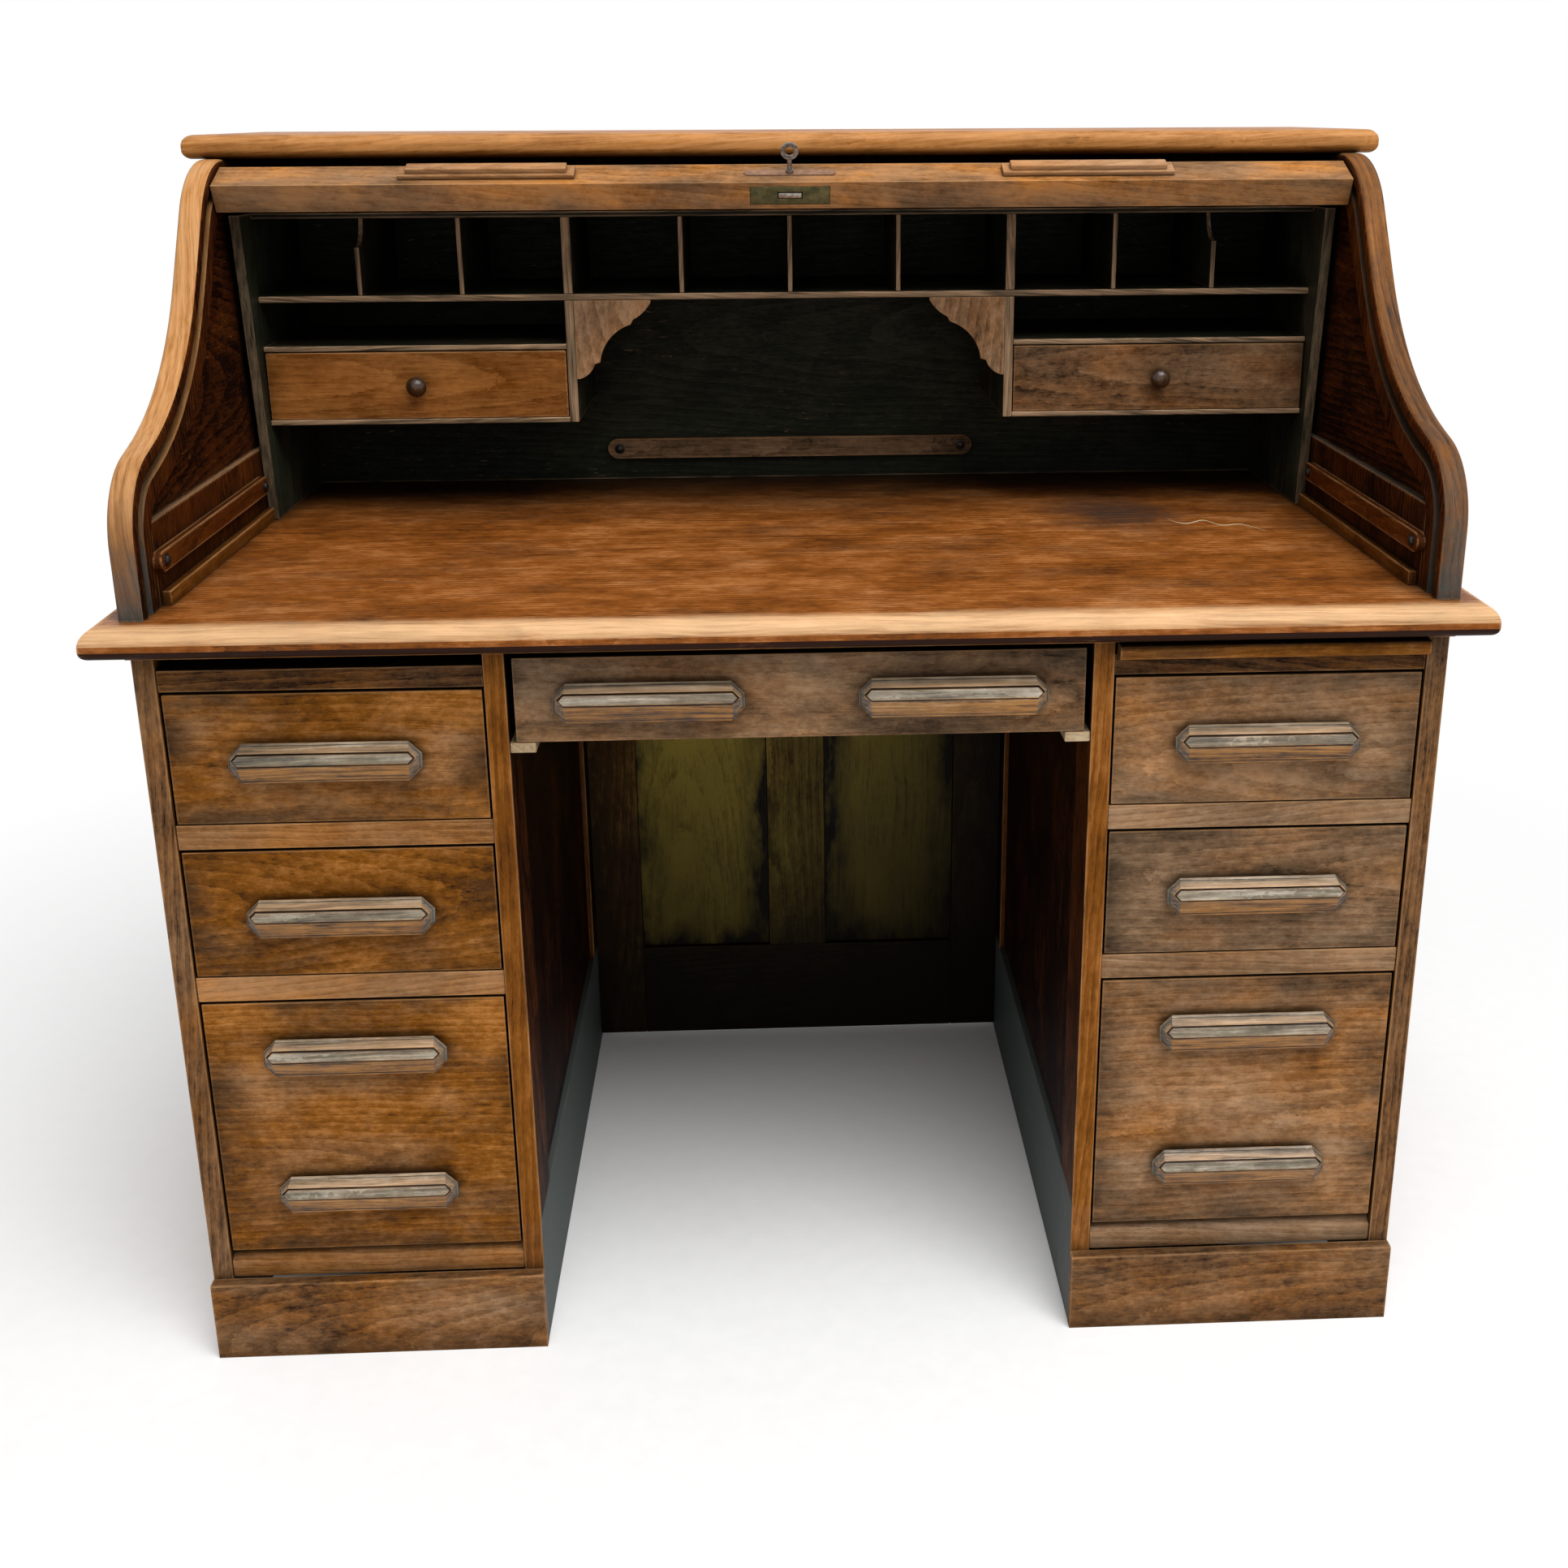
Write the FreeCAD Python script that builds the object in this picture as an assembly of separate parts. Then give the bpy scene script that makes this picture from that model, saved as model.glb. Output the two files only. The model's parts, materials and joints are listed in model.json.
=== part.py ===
import FreeCAD, Part
import math
import os
from FreeCAD import Vector

# A twin-pedestal oak desk with an S-shaped tambour top, in millimetres.
# X runs across the desk, -Y is its front and +Z is up.
# The origin is on the floor, below the middle of the desk's outer box.

# Overall sizes
WRITING_WIDTH = 1270.0
DEPTH = 684.0
WRITING_HEIGHT = 782.0
UPPER_HEIGHT = 410.0
WRITING_THICK = 29.0
NOSE_UPPER_RADIUS = 17.0
NOSE_LOWER_RADIUS = 9.0
FRONT_OVERHANG = 34.0
SIDE_OVERHANG = 32.0

# Frame below the writing top
SUBFRAME_THICK = 8.0
SUBFRAME_PROUD = 4.0
SUBFRAME_WIDTH = 40.0

# Pedestals
PEDESTAL_WIDTH = 333.0
BACK_OVERHANG = 10.0
SIDE_THICK = 20.0
SIDE_STILE = 70.0
SIDE_TOP_RAIL = 70.0
SIDE_BOTTOM_RAIL = 140.0
SIDE_PANEL_THICK = 8.0
PLINTH_HEIGHT = 86.0
PLINTH_THICK = 12.0
PLINTH_EDGE_RADIUS = 3.0
BACK_FRAME_THICK = 12.0
BACK_STILE = 50.0
BACK_PANEL_THICK = 6.0
BACK_FLOOR_GAP = 20.0

# Drawer rails and drawers, from the top down
SLOT_HEIGHT = 12.0
TOP_RAIL_HEIGHT = 21.0
TOP_DRAWER_HEIGHT = 127.0
MIDDLE_DRAWER_HEIGHT = 129.0
UPPER_RAIL_HEIGHT = 25.0
LOWER_RAIL_HEIGHT = 26.0
SILL_HEIGHT = 30.5
RAIL_DEPTH = 45.0
FACE_SETBACK = 2.0
BOTTOM_RAIL_BEVEL = 12.0
GAP_ABOVE = 2.5
GAP_BELOW = 1.0
GAP_SIDE = 2.0
DRAWER_FRONT_THICK = 20.0
DRAWER_SIDE_THICK = 10.0
DRAWER_BOTTOM_THICK = 6.0
DRAWER_BOTTOM_RISE = 6.0
DRAWER_SIDE_DROP = 15.0
DRAWER_BACK_GAP = 66.0
RUNNER_WIDTH = 14.0
RUNNER_HEIGHT = 12.0
RUN_CLEARANCE = 0.3

# Centre drawer
CENTRE_HEIGHT = 82.0
CENTRE_GAP_ABOVE = 6.0
CENTRE_GAP_SIDE = 6.0
CENTRE_BACK_GAP = 122.0
CENTRE_RUNNER_WIDTH = 24.0
CENTRE_RUNNER_HEIGHT = 10.0
CENTRE_PULL_SPREAD = 140.0

# Pulls carved with a stepped, pointed bar: depth, half length and half height of each step
PULL_ROOT = (0.0, 80.0, 12.0)
PULL_FLARE = (7.0, 87.5, 18.0)
PULL_RIM = (11.0, 87.5, 18.0)
PULL_STEP = (16.0, 83.0, 13.0)
PULL_FACE = (22.0, 79.0, 8.0)
PULL_CORNER = 12.0
DEEP_PULL_DROP = 54.0
DEEP_PULL_RISE = 71.0

# Writing slide above the right-hand drawers
SLIDE_THICK = 11.0
SLIDE_BACK_GAP = 158.0
SLIDE_LIP_DEPTH = 14.0
SLIDE_LIP_DROP = 3.0
SLIDE_LIP_RADIUS = 4.0

# Modesty panel at the back of the kneehole
MODESTY_INSET = 18.0
MODESTY_THICK = 18.0
MODESTY_FLOOR_GAP = 8.0
MODESTY_STILE = 62.0
MODESTY_MULLION = 75.0
MODESTY_TOP_RAIL = 70.0
MODESTY_BOTTOM_RAIL = 128.0
MODESTY_PANEL_THICK = 8.0

# S-shaped gables: the front edge is a chain of tangent lines and arcs
GABLE_THICK = 24.0
GABLE_PROUD = 4.0
GABLE_SETBACK = 26.0
S_FOOT_RISE = 63.0
S_BELLY_RADIUS = 80.0
S_LEAST_SLOPE = 16.0
S_LEVEL_RUN = 20.0
S_HOLLOW_RADIUS = 300.0
S_STEEP_SLOPE = 57.0
S_SHOULDER_RADIUS = 100.0
S_STILE_WIDTH = 44.0
S_EDGE_RADIUS = 5.0
GABLE_RAIL_HEIGHT = 80.0
GABLE_BACK_STILE = 60.0
GABLE_PANEL_THICK = 12.0

# Tambour groove in the gables and the curtain that runs in it
GROOVE_OFFSET = 18.0
GROOVE_WIDTH = 13.0
GROOVE_DEPTH = 9.0
CORNER_RADIUS = 75.0
BACK_RUN_INSET = 28.0
GROOVE_FOOT_RISE = 48.0
SLAT_WIDTH = 18.6
SLAT_GAP = 1.8
LEAD_GAP = 3.0
SLAT_OUTER = 6.0
SLAT_BEVEL = 3.0
SLAT_END_GAP = 1.5
TONGUE_WIDTH = 4.0
TONGUE_OUTER = 2.5
TONGUE_LENGTH = 8.0
TAMBOUR_TRAVEL = 30.0
LEAD_ANGLE = 24.0
LEAD_WIDTH = 42.0
LEAD_OUTER = 10.0
LEAD_INNER = 19.0

# Lead rail fittings
RAIL_PULL_LENGTH = 178.0
RAIL_PULL_SPREAD = 308.0
RAIL_PULL_WIDTH = 22.0
RAIL_PULL_BASE = 5.0
RAIL_PULL_HEIGHT = 10.0
RAIL_PULL_STEP = 8.0
LOCK_PLATE_LENGTH = 82.0
LOCK_PLATE_WIDTH = 20.0
LOCK_PLATE_THICK = 1.5
BOLT_WIDTH = 24.0
BOLT_THICK = 6.0
BOLT_LENGTH = 18.0
BOLT_CLEARANCE = 0.4
BOLT_PROUD = 1.0
ESCUTCHEON_LENGTH = 94.0
ESCUTCHEON_WIDTH = 12.0
ESCUTCHEON_THICK = 1.2
KEY_SHAFT_RADIUS = 2.5
KEY_CLEARANCE = 0.4
KEY_REACH = 12.0
KEY_STEM = 14.0
KEY_BOW_RADIUS = 9.0
KEY_BOW_HOLE = 5.0
KEY_BOW_THICK = 3.0
KEY_COLLAR_RADIUS = 4.0
KEY_COLLAR_HEIGHT = 3.0

# Top board and upper back
TOP_THICK = 24.0
TOP_SIDE_OVERHANG = 17.0
TOP_NOSE_UPPER_RADIUS = 11.0
TOP_NOSE_LOWER_RADIUS = 9.0
UPPER_BACK_THICK = 12.0
UPPER_BACK_STILE = 70.0
UPPER_BACK_RAIL = 60.0
UPPER_BACK_PANEL = 6.0

# Pigeonhole unit
UNIT_DEPTH = 190.0
UNIT_BACK_GAP = 24.0
UNIT_TOP_GAP = 56.0
PIGEONHOLE_PITCH = 87.0
LETTER_SLOT_PITCH = 53.5
SMALL_DRAWER_PITCH = 86.0
UNIT_BOARD = 6.0
UNIT_BACK_THICK = 8.0
END_THICK = 11.0
END_GAP = 1.0
END_FOOT_REACH = 6.0
END_TOP_REACH = 38.0
SHELF_THICK = 7.0
MAIN_DIVIDER_PLACE = 240.0
MAIN_DIVIDER_THICK = 10.0
THIN_DIVIDER = 5.0
SIDE_BAYS = 3
CENTRE_BAYS = 4
DIVIDER_SCOOP = 30.0
BRACKET_WIDTH = 83.0
BRACKET_DROP = 85.0
BRACKET_THICK = 8.0
BRACKET_FLAT = 3.0
SMALL_GAP = 1.0
SMALL_FRONT_THICK = 12.0
SMALL_SIDE_THICK = 6.0
SMALL_BOTTOM_THICK = 4.0
SMALL_DROP = 8.0
KNOB_RADIUS = 11.0
KNOB_NECK_RADIUS = 5.0
KNOB_NECK = 6.0
KNOB_LENGTH = 20.0

# Letter rails with rounded ends
BILL_RAIL_THICK = 8.0
BACK_BILL_HALF = 222.0
BACK_BILL_LOW = 27.0
BACK_BILL_HEIGHT = 24.0
GABLE_BILL_LOW = 34.0
GABLE_BILL_HEIGHT = 19.0
GABLE_BILL_FRONT = 30.0
GABLE_BILL_GAP = 14.0
SLIP_HEIGHT = 14.0
SLIP_THICK = 8.0
SLIP_FRONT = 44.0

# Places worked out from the sizes
FRONT = -DEPTH / 2 + FRONT_OVERHANG
BACK = DEPTH / 2
HALF_OUT = WRITING_WIDTH / 2 - SIDE_OVERHANG
HALF_IN = HALF_OUT - PEDESTAL_WIDTH
BAY_OUT = HALF_OUT - SIDE_THICK
BAY_IN = HALF_IN + SIDE_THICK
WRITING_UNDER = WRITING_HEIGHT - WRITING_THICK
PEDESTAL_TOP = WRITING_UNDER - SUBFRAME_THICK
PEDESTAL_BACK = BACK - BACK_OVERHANG
TOP_RAIL_TOP = PEDESTAL_TOP - SLOT_HEIGHT
TOP_RAIL_UNDER = TOP_RAIL_TOP - TOP_RAIL_HEIGHT
FACE = FRONT + FACE_SETBACK
BAY_BACK = PEDESTAL_BACK - BACK_FRAME_THICK
MODESTY_FACE = PEDESTAL_BACK - MODESTY_INSET - MODESTY_THICK
DRAWER_DEPTH = BAY_BACK - DRAWER_BACK_GAP - FACE
CENTRE_DEPTH = MODESTY_FACE - CENTRE_BACK_GAP - FACE
OVERALL_HEIGHT = WRITING_HEIGHT + UPPER_HEIGHT
TOP_UNDER = OVERALL_HEIGHT - TOP_THICK
GABLE_OUT = HALF_OUT + GABLE_PROUD
GABLE_IN = GABLE_OUT - GABLE_THICK
GABLE_FOOT = -DEPTH / 2 + GABLE_SETBACK
GROOVE_FLOOR = GABLE_IN + GROOVE_DEPTH
BACK_RUN = BACK - BACK_RUN_INSET
UNIT_REAR = BACK_RUN - UNIT_BACK_GAP - UNIT_BACK_THICK
UNIT_FACE = UNIT_REAR - UNIT_DEPTH
UNIT_TOP = TOP_UNDER - UNIT_TOP_GAP
SHELF_HEIGHT = UNIT_TOP - PIGEONHOLE_PITCH
TRAY_HEIGHT = SHELF_HEIGHT - LETTER_SLOT_PITCH
UNIT_BOTTOM = TRAY_HEIGHT - SMALL_DRAWER_PITCH
END_OUT = GABLE_IN - END_GAP
END_IN = END_OUT - END_THICK


def box(x0, x1, y0, y1, z0, z1):
    return Part.makeBox(x1 - x0, y1 - y0, z1 - z0, Vector(x0, y0, z0))


def mirrored(shape):
    return shape.mirror(Vector(0, 0, 0), Vector(1, 0, 0))


def both(shapes):
    return shapes + [mirrored(shape) for shape in shapes]


def save(name, shapes):
    Part.makeCompound(shapes).exportStep("parts/" + name + ".step")


def save_pair(name, shapes):
    save("right_" + name, shapes)
    save("left_" + name, [mirrored(shape) for shape in shapes])


def edges_where(shape, test):
    return [edge for edge in shape.Edges if test(edge.BoundBox)]


# Turned and moulded boards

def nosed_board(half_width, y0, y1, z0, z1, upper, lower):
    """A board with a moulded nose along its front and both ends."""
    board = box(-half_width, half_width, y0, y1, z0, z1)

    def on_nose(bounds):
        front = bounds.YLength < 1e-6 and abs(bounds.YMin - y0) < 1e-6
        end = bounds.XLength < 1e-6
        return bounds.ZLength < 1e-6 and (front or end)

    top_edges = edges_where(board, lambda b: on_nose(b) and abs(b.ZMin - z1) < 1e-6)
    board = board.makeFillet(upper, top_edges)
    low_edges = edges_where(board, lambda b: on_nose(b) and abs(b.ZMin - z0) < 1e-6)
    return board.makeFillet(lower, low_edges)


def writing_top():
    y0 = -DEPTH / 2
    return nosed_board(WRITING_WIDTH / 2, y0, BACK, WRITING_UNDER, WRITING_HEIGHT,
                       NOSE_UPPER_RADIUS, NOSE_LOWER_RADIUS)


def top_board(front):
    return nosed_board(GABLE_OUT + TOP_SIDE_OVERHANG, front, BACK, TOP_UNDER, OVERALL_HEIGHT,
                       TOP_NOSE_UPPER_RADIUS, TOP_NOSE_LOWER_RADIUS)


def subframe():
    """Six thin rails between the pedestals and the writing top."""
    z0, z1 = PEDESTAL_TOP, WRITING_UNDER
    out = HALF_OUT + SUBFRAME_PROUD
    inner_front = FRONT + SUBFRAME_WIDTH
    inner_back = PEDESTAL_BACK - SUBFRAME_WIDTH
    front = box(-out, out, FRONT - SUBFRAME_PROUD, inner_front, z0, z1)
    back = box(-BAY_OUT, BAY_OUT, inner_back, PEDESTAL_BACK, z0, z1)
    outer = box(BAY_OUT, out, inner_front, PEDESTAL_BACK, z0, z1)
    inner = box(HALF_IN, BAY_IN, inner_front, inner_back, z0, z1)
    return [front, back] + both([outer, inner])


# Pedestals

def side_frame(x0, x1):
    """Two stiles and two rails of one pedestal side."""
    y0, y1 = FRONT, PEDESTAL_BACK
    ya, yb = y0 + SIDE_STILE, y1 - SIDE_STILE
    top = PEDESTAL_TOP
    return [box(x0, x1, y0, ya, 0, top),
            box(x0, x1, yb, y1, 0, top),
            box(x0, x1, ya, yb, 0, SIDE_BOTTOM_RAIL),
            box(x0, x1, ya, yb, top - SIDE_TOP_RAIL, top)]


def side_panel(x0, x1):
    middle = (x0 + x1) / 2
    return box(middle - SIDE_PANEL_THICK / 2, middle + SIDE_PANEL_THICK / 2,
               FRONT + SIDE_STILE, PEDESTAL_BACK - SIDE_STILE,
               SIDE_BOTTOM_RAIL, PEDESTAL_TOP - SIDE_TOP_RAIL)


def plinth():
    board = box(HALF_IN, HALF_OUT, FRONT - PLINTH_THICK, FRONT, 0, PLINTH_HEIGHT)
    y0 = FRONT - PLINTH_THICK
    edge = edges_where(board, lambda b: b.ZMin > PLINTH_HEIGHT - 1e-6 and b.YMax < y0 + 1e-6)
    return board.makeFillet(PLINTH_EDGE_RADIUS, edge)


def pedestal_back_frame():
    y0, y1 = BAY_BACK, PEDESTAL_BACK
    z0, z1 = BACK_FLOOR_GAP, PEDESTAL_TOP
    xa, xb = BAY_IN + BACK_STILE, BAY_OUT - BACK_STILE
    return [box(BAY_IN, xa, y0, y1, z0, z1),
            box(xb, BAY_OUT, y0, y1, z0, z1),
            box(xa, xb, y0, y1, z0, z0 + BACK_STILE),
            box(xa, xb, y0, y1, z1 - BACK_STILE, z1)]


def pedestal_back_panel():
    middle = PEDESTAL_BACK - BACK_FRAME_THICK / 2
    return box(BAY_IN + BACK_STILE, BAY_OUT - BACK_STILE,
               middle - BACK_PANEL_THICK / 2, middle + BACK_PANEL_THICK / 2,
               BACK_FLOOR_GAP + BACK_STILE, PEDESTAL_TOP - BACK_STILE)


def drawer_levels():
    """Bottom and top of each drawer front in a pedestal, from the top down."""
    top = TOP_RAIL_UNDER - GAP_ABOVE
    low = top - TOP_DRAWER_HEIGHT
    middle_top = low - GAP_BELOW - UPPER_RAIL_HEIGHT - GAP_ABOVE
    middle_low = middle_top - MIDDLE_DRAWER_HEIGHT
    deep_top = middle_low - GAP_BELOW - LOWER_RAIL_HEIGHT - GAP_ABOVE
    deep_low = PLINTH_HEIGHT + SILL_HEIGHT + GAP_BELOW
    return [(low, top), (middle_low, middle_top), (deep_low, deep_top)]


def drawer_rails(levels):
    """Front rails of one pedestal, with a bevelled one at the bottom."""
    y0, y1 = FACE, FACE + RAIL_DEPTH
    rails = [box(BAY_IN, BAY_OUT, y0, y1, TOP_RAIL_UNDER, TOP_RAIL_TOP)]
    for (low, top), height in zip(levels, (UPPER_RAIL_HEIGHT, LOWER_RAIL_HEIGHT)):
        rails.append(box(BAY_IN, BAY_OUT, y0, y1, low - GAP_BELOW - height, low - GAP_BELOW))
    sill_top = PLINTH_HEIGHT + SILL_HEIGHT
    outline = [(y0, PLINTH_HEIGHT), (y1, PLINTH_HEIGHT), (y1, sill_top),
               (y0 + BOTTOM_RAIL_BEVEL, sill_top), (y0, sill_top - BOTTOM_RAIL_BEVEL)]
    rails.append(prism(outline, BAY_IN, BAY_OUT))
    return rails


def prism(outline, x0, x1):
    """A solid with the given outline of y and z, from x0 to x1."""
    points = [Vector(x0, y, z) for y, z in outline]
    face = Part.Face(Part.makePolygon(points + points[:1]))
    return face.extrude(Vector(x1 - x0, 0, 0))


def drawer_runners(levels):
    y0, y1 = FACE + RAIL_DEPTH, BAY_BACK
    runners = []
    for low, top in levels:
        z1 = low - RUN_CLEARANCE
        z0 = z1 - RUNNER_HEIGHT
        runners.append(box(BAY_IN, BAY_IN + RUNNER_WIDTH, y0, y1, z0, z1))
        runners.append(box(BAY_OUT - RUNNER_WIDTH, BAY_OUT, y0, y1, z0, z1))
    return runners


def slide_runners():
    y0, y1 = FACE + RAIL_DEPTH, BAY_BACK
    z0, z1 = TOP_RAIL_TOP - RUNNER_HEIGHT, TOP_RAIL_TOP
    return [box(BAY_IN, BAY_IN + RUNNER_WIDTH, y0, y1, z0, z1),
            box(BAY_OUT - RUNNER_WIDTH, BAY_OUT, y0, y1, z0, z1)]


def centre_levels():
    top = PEDESTAL_TOP - CENTRE_GAP_ABOVE
    return top - CENTRE_HEIGHT, top


def centre_runner():
    z1 = centre_levels()[0] - RUN_CLEARANCE
    z0 = z1 - CENTRE_RUNNER_HEIGHT
    return box(HALF_IN - CENTRE_RUNNER_WIDTH, HALF_IN, FACE, MODESTY_FACE, z0, z1)


# Drawers and their pulls

def drawer(x0, x1, z0, z1, depth, face, front_thick, side_thick, bottom_thick, rise, drop):
    """A drawer box: front, two sides, back and bottom."""
    y0, y1 = face + front_thick, face + depth
    xa, xb = x0 + side_thick, x1 - side_thick
    side_top = z1 - drop
    floor = z0 + rise
    return [box(x0, x1, face, y0, z0, z1),
            box(x0, xa, y0, y1, z0, side_top),
            box(xb, x1, y0, y1, z0, side_top),
            box(xa, xb, y0, y1, floor, floor + bottom_thick),
            box(xa, xb, y1 - side_thick, y1, floor + bottom_thick, side_top)]


def pull_outline(step, face):
    depth, half_length, half_height = step
    y = face - depth
    flat = half_length - PULL_CORNER
    point = half_height / 3
    corners = [(-half_length, -point), (-half_length, point), (-flat, half_height), (flat, half_height),
               (half_length, point), (half_length, -point), (flat, -half_height), (-flat, -half_height)]
    points = [Vector(x, y, z) for x, z in corners]
    return Part.makePolygon(points + points[:1])


def pull(x, face, z):
    """A carved bar: an undercut root, a rim and two smaller steps."""
    inset_rim = (PULL_RIM[0],) + PULL_STEP[1:]
    steps = [(PULL_ROOT, PULL_FLARE), (PULL_FLARE, PULL_RIM),
             (inset_rim, PULL_STEP), (PULL_STEP, PULL_FACE)]
    blocks = [Part.makeLoft([pull_outline(a, face), pull_outline(b, face)], True, True) for a, b in steps]
    bar = blocks[0].multiFuse(blocks[1:]).removeSplitter()
    bar.translate(Vector(x, 0, z))
    return bar


def pull_heights(levels):
    """Heights of the pulls on each drawer: one on the shallow drawers, two on the deep one."""
    heights = [[(low + top) / 2] for low, top in levels[:-1]]
    deep_low, deep_top = levels[-1]
    return heights + [[deep_top - DEEP_PULL_DROP, deep_low + DEEP_PULL_RISE]]


def pedestal_drawers(levels):
    middle = (BAY_IN + BAY_OUT) / 2
    for number, ((low, top), heights) in enumerate(zip(levels, pull_heights(levels)), 1):
        parts = drawer(BAY_IN + GAP_SIDE, BAY_OUT - GAP_SIDE, low, top, DRAWER_DEPTH, FACE,
                       DRAWER_FRONT_THICK, DRAWER_SIDE_THICK, DRAWER_BOTTOM_THICK,
                       DRAWER_BOTTOM_RISE, DRAWER_SIDE_DROP)
        save_pair("drawer_%d" % number, parts)
        pulls = [pull(middle, FACE, z) for z in heights]
        save_pair("drawer_%d_pull" % number, pulls)


def centre_drawer():
    low, top = centre_levels()
    half = HALF_IN - CENTRE_GAP_SIDE
    parts = drawer(-half, half, low, top, CENTRE_DEPTH, FACE, DRAWER_FRONT_THICK, DRAWER_SIDE_THICK,
                   DRAWER_BOTTOM_THICK, DRAWER_BOTTOM_RISE, DRAWER_SIDE_DROP)
    save("centre_drawer", parts)
    save("centre_drawer_pulls", both([pull(CENTRE_PULL_SPREAD, FACE, (low + top) / 2)]))


def writing_slide():
    """The slide board with its moulded front lip."""
    z1 = PEDESTAL_TOP - RUN_CLEARANCE
    z0 = z1 - SLIDE_THICK
    x0, x1 = BAY_IN + GAP_SIDE, BAY_OUT - GAP_SIDE
    lip_front = FRONT - SLIDE_LIP_DEPTH
    board = box(x0, x1, FRONT, BAY_BACK - SLIDE_BACK_GAP, z0, z1)
    lip = box(x0, x1, lip_front, FRONT, z0 - SLIDE_LIP_DROP, z1)
    edges = edges_where(lip, lambda b: b.YMax < lip_front + 1e-6 and b.ZLength < 1e-6)
    return [board, lip.makeFillet(SLIDE_LIP_RADIUS, edges)]


# Modesty panel

def modesty_places():
    return MODESTY_FACE, MODESTY_FACE + MODESTY_THICK, MODESTY_FLOOR_GAP, PEDESTAL_TOP


def modesty_frame():
    y0, y1, z0, z1 = modesty_places()
    xa, xb = MODESTY_MULLION / 2, HALF_IN - MODESTY_STILE
    low, high = z0 + MODESTY_BOTTOM_RAIL, z1 - MODESTY_TOP_RAIL
    return both([box(xb, HALF_IN, y0, y1, z0, z1)]) + [
        box(-xb, xb, y0, y1, z0, low),
        box(-xb, xb, y0, y1, high, z1),
        box(-xa, xa, y0, y1, low, high)]


def modesty_panel():
    y0, y1, z0, z1 = modesty_places()
    middle = (y0 + y1) / 2
    return box(MODESTY_MULLION / 2, HALF_IN - MODESTY_STILE,
               middle - MODESTY_PANEL_THICK / 2, middle + MODESTY_PANEL_THICK / 2,
               z0 + MODESTY_BOTTOM_RAIL, z1 - MODESTY_TOP_RAIL)


# S curve of the gables

def s_moves():
    """The front edge from its foot to the shoulder: run or radius, and turn in degrees."""
    least = math.radians(S_LEAST_SLOPE)
    steep = math.radians(S_STEEP_SLOPE)
    belly_rise = S_BELLY_RADIUS * math.cos(least)
    level_rise = S_LEVEL_RUN * math.sin(least)
    hollow_rise = S_HOLLOW_RADIUS * (math.cos(least) - math.cos(steep))
    shoulder_rise = S_SHOULDER_RADIUS * (1 - math.cos(steep))
    rise = S_FOOT_RISE + belly_rise + level_rise + hollow_rise + shoulder_rise
    straight = (TOP_UNDER - WRITING_HEIGHT - rise) / math.sin(steep)
    return [(S_FOOT_RISE, 0.0),
            (S_BELLY_RADIUS, S_LEAST_SLOPE - 90.0),
            (S_LEVEL_RUN, 0.0),
            (S_HOLLOW_RADIUS, S_STEEP_SLOPE - S_LEAST_SLOPE),
            (straight, 0.0),
            (S_SHOULDER_RADIUS, -S_STEEP_SLOPE)]


def trace(start, heading, moves, offset, x):
    """Edges of a tangent path of y and z, shifted to its right by offset, and its two ends."""
    angle = math.radians(heading)
    y, z = start
    here = Vector(x, y + offset * math.sin(angle), z - offset * math.cos(angle))
    first = here
    edges = []
    for size, turn in moves:
        if turn == 0.0:
            there = here + Vector(0, size * math.cos(angle), size * math.sin(angle))
            edges.append(Part.LineSegment(here, there).toShape())
        else:
            side = 1.0 if turn > 0 else -1.0
            radius = size + side * offset
            centre = here + Vector(0, -side * radius * math.sin(angle), side * radius * math.cos(angle))

            def on_arc(heading_angle):
                return centre + Vector(0, side * radius * math.sin(heading_angle),
                                       -side * radius * math.cos(heading_angle))

            swing = math.radians(turn)
            there = on_arc(angle + swing)
            edges.append(Part.Arc(here, on_arc(angle + swing / 2), there).toShape())
            angle += swing
        here = there
    return edges, first, here


def strip(start, heading, moves, near, far, x0, x1):
    """The solid between two offsets of a path."""
    outer, outer_start, outer_end = trace(start, heading, moves, near, x0)
    inner, inner_start, inner_end = trace(start, heading, moves, far, x0)
    ends = [Part.LineSegment(outer_end, inner_end).toShape(),
            Part.LineSegment(inner_start, outer_start).toShape()]
    wire = Part.Wire(Part.__sortEdges__(outer + inner + ends))
    return Part.Face(wire).extrude(Vector(x1 - x0, 0, 0))


S_START = (GABLE_FOOT, WRITING_HEIGHT)
S_MOVES = s_moves()
SHOULDER_Y = trace(S_START, 90.0, S_MOVES, 0.0, 0.0)[2].y
SHOULDER_CENTRE = (SHOULDER_Y, TOP_UNDER - S_SHOULDER_RADIUS)
GROOVE_RADIUS = S_SHOULDER_RADIUS - GROOVE_OFFSET
CORNER_CENTRE = (BACK_RUN - CORNER_RADIUS, TOP_UNDER - GROOVE_OFFSET - CORNER_RADIUS)
FLAT_RUN = CORNER_CENTRE[0] - SHOULDER_Y
CORNER_RUN = CORNER_RADIUS * math.pi / 2
BACK_DROP = CORNER_CENTRE[1] - WRITING_HEIGHT - GROOVE_FOOT_RISE
SLAT_INNER = GROOVE_WIDTH / 2 - RUN_CLEARANCE


def groove_cutter():
    """The tambour groove: up the S, along below the top, round the corner and down."""
    moves = list(S_MOVES)
    moves.append((FLAT_RUN, 0.0))
    moves.append((CORNER_RADIUS + GROOVE_OFFSET, -90.0))
    moves.append((BACK_DROP, 0.0))
    near = GROOVE_OFFSET - GROOVE_WIDTH / 2
    far = GROOVE_OFFSET + GROOVE_WIDTH / 2
    return strip(S_START, 90.0, moves, near, far, GABLE_IN, GROOVE_FLOOR)


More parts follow.
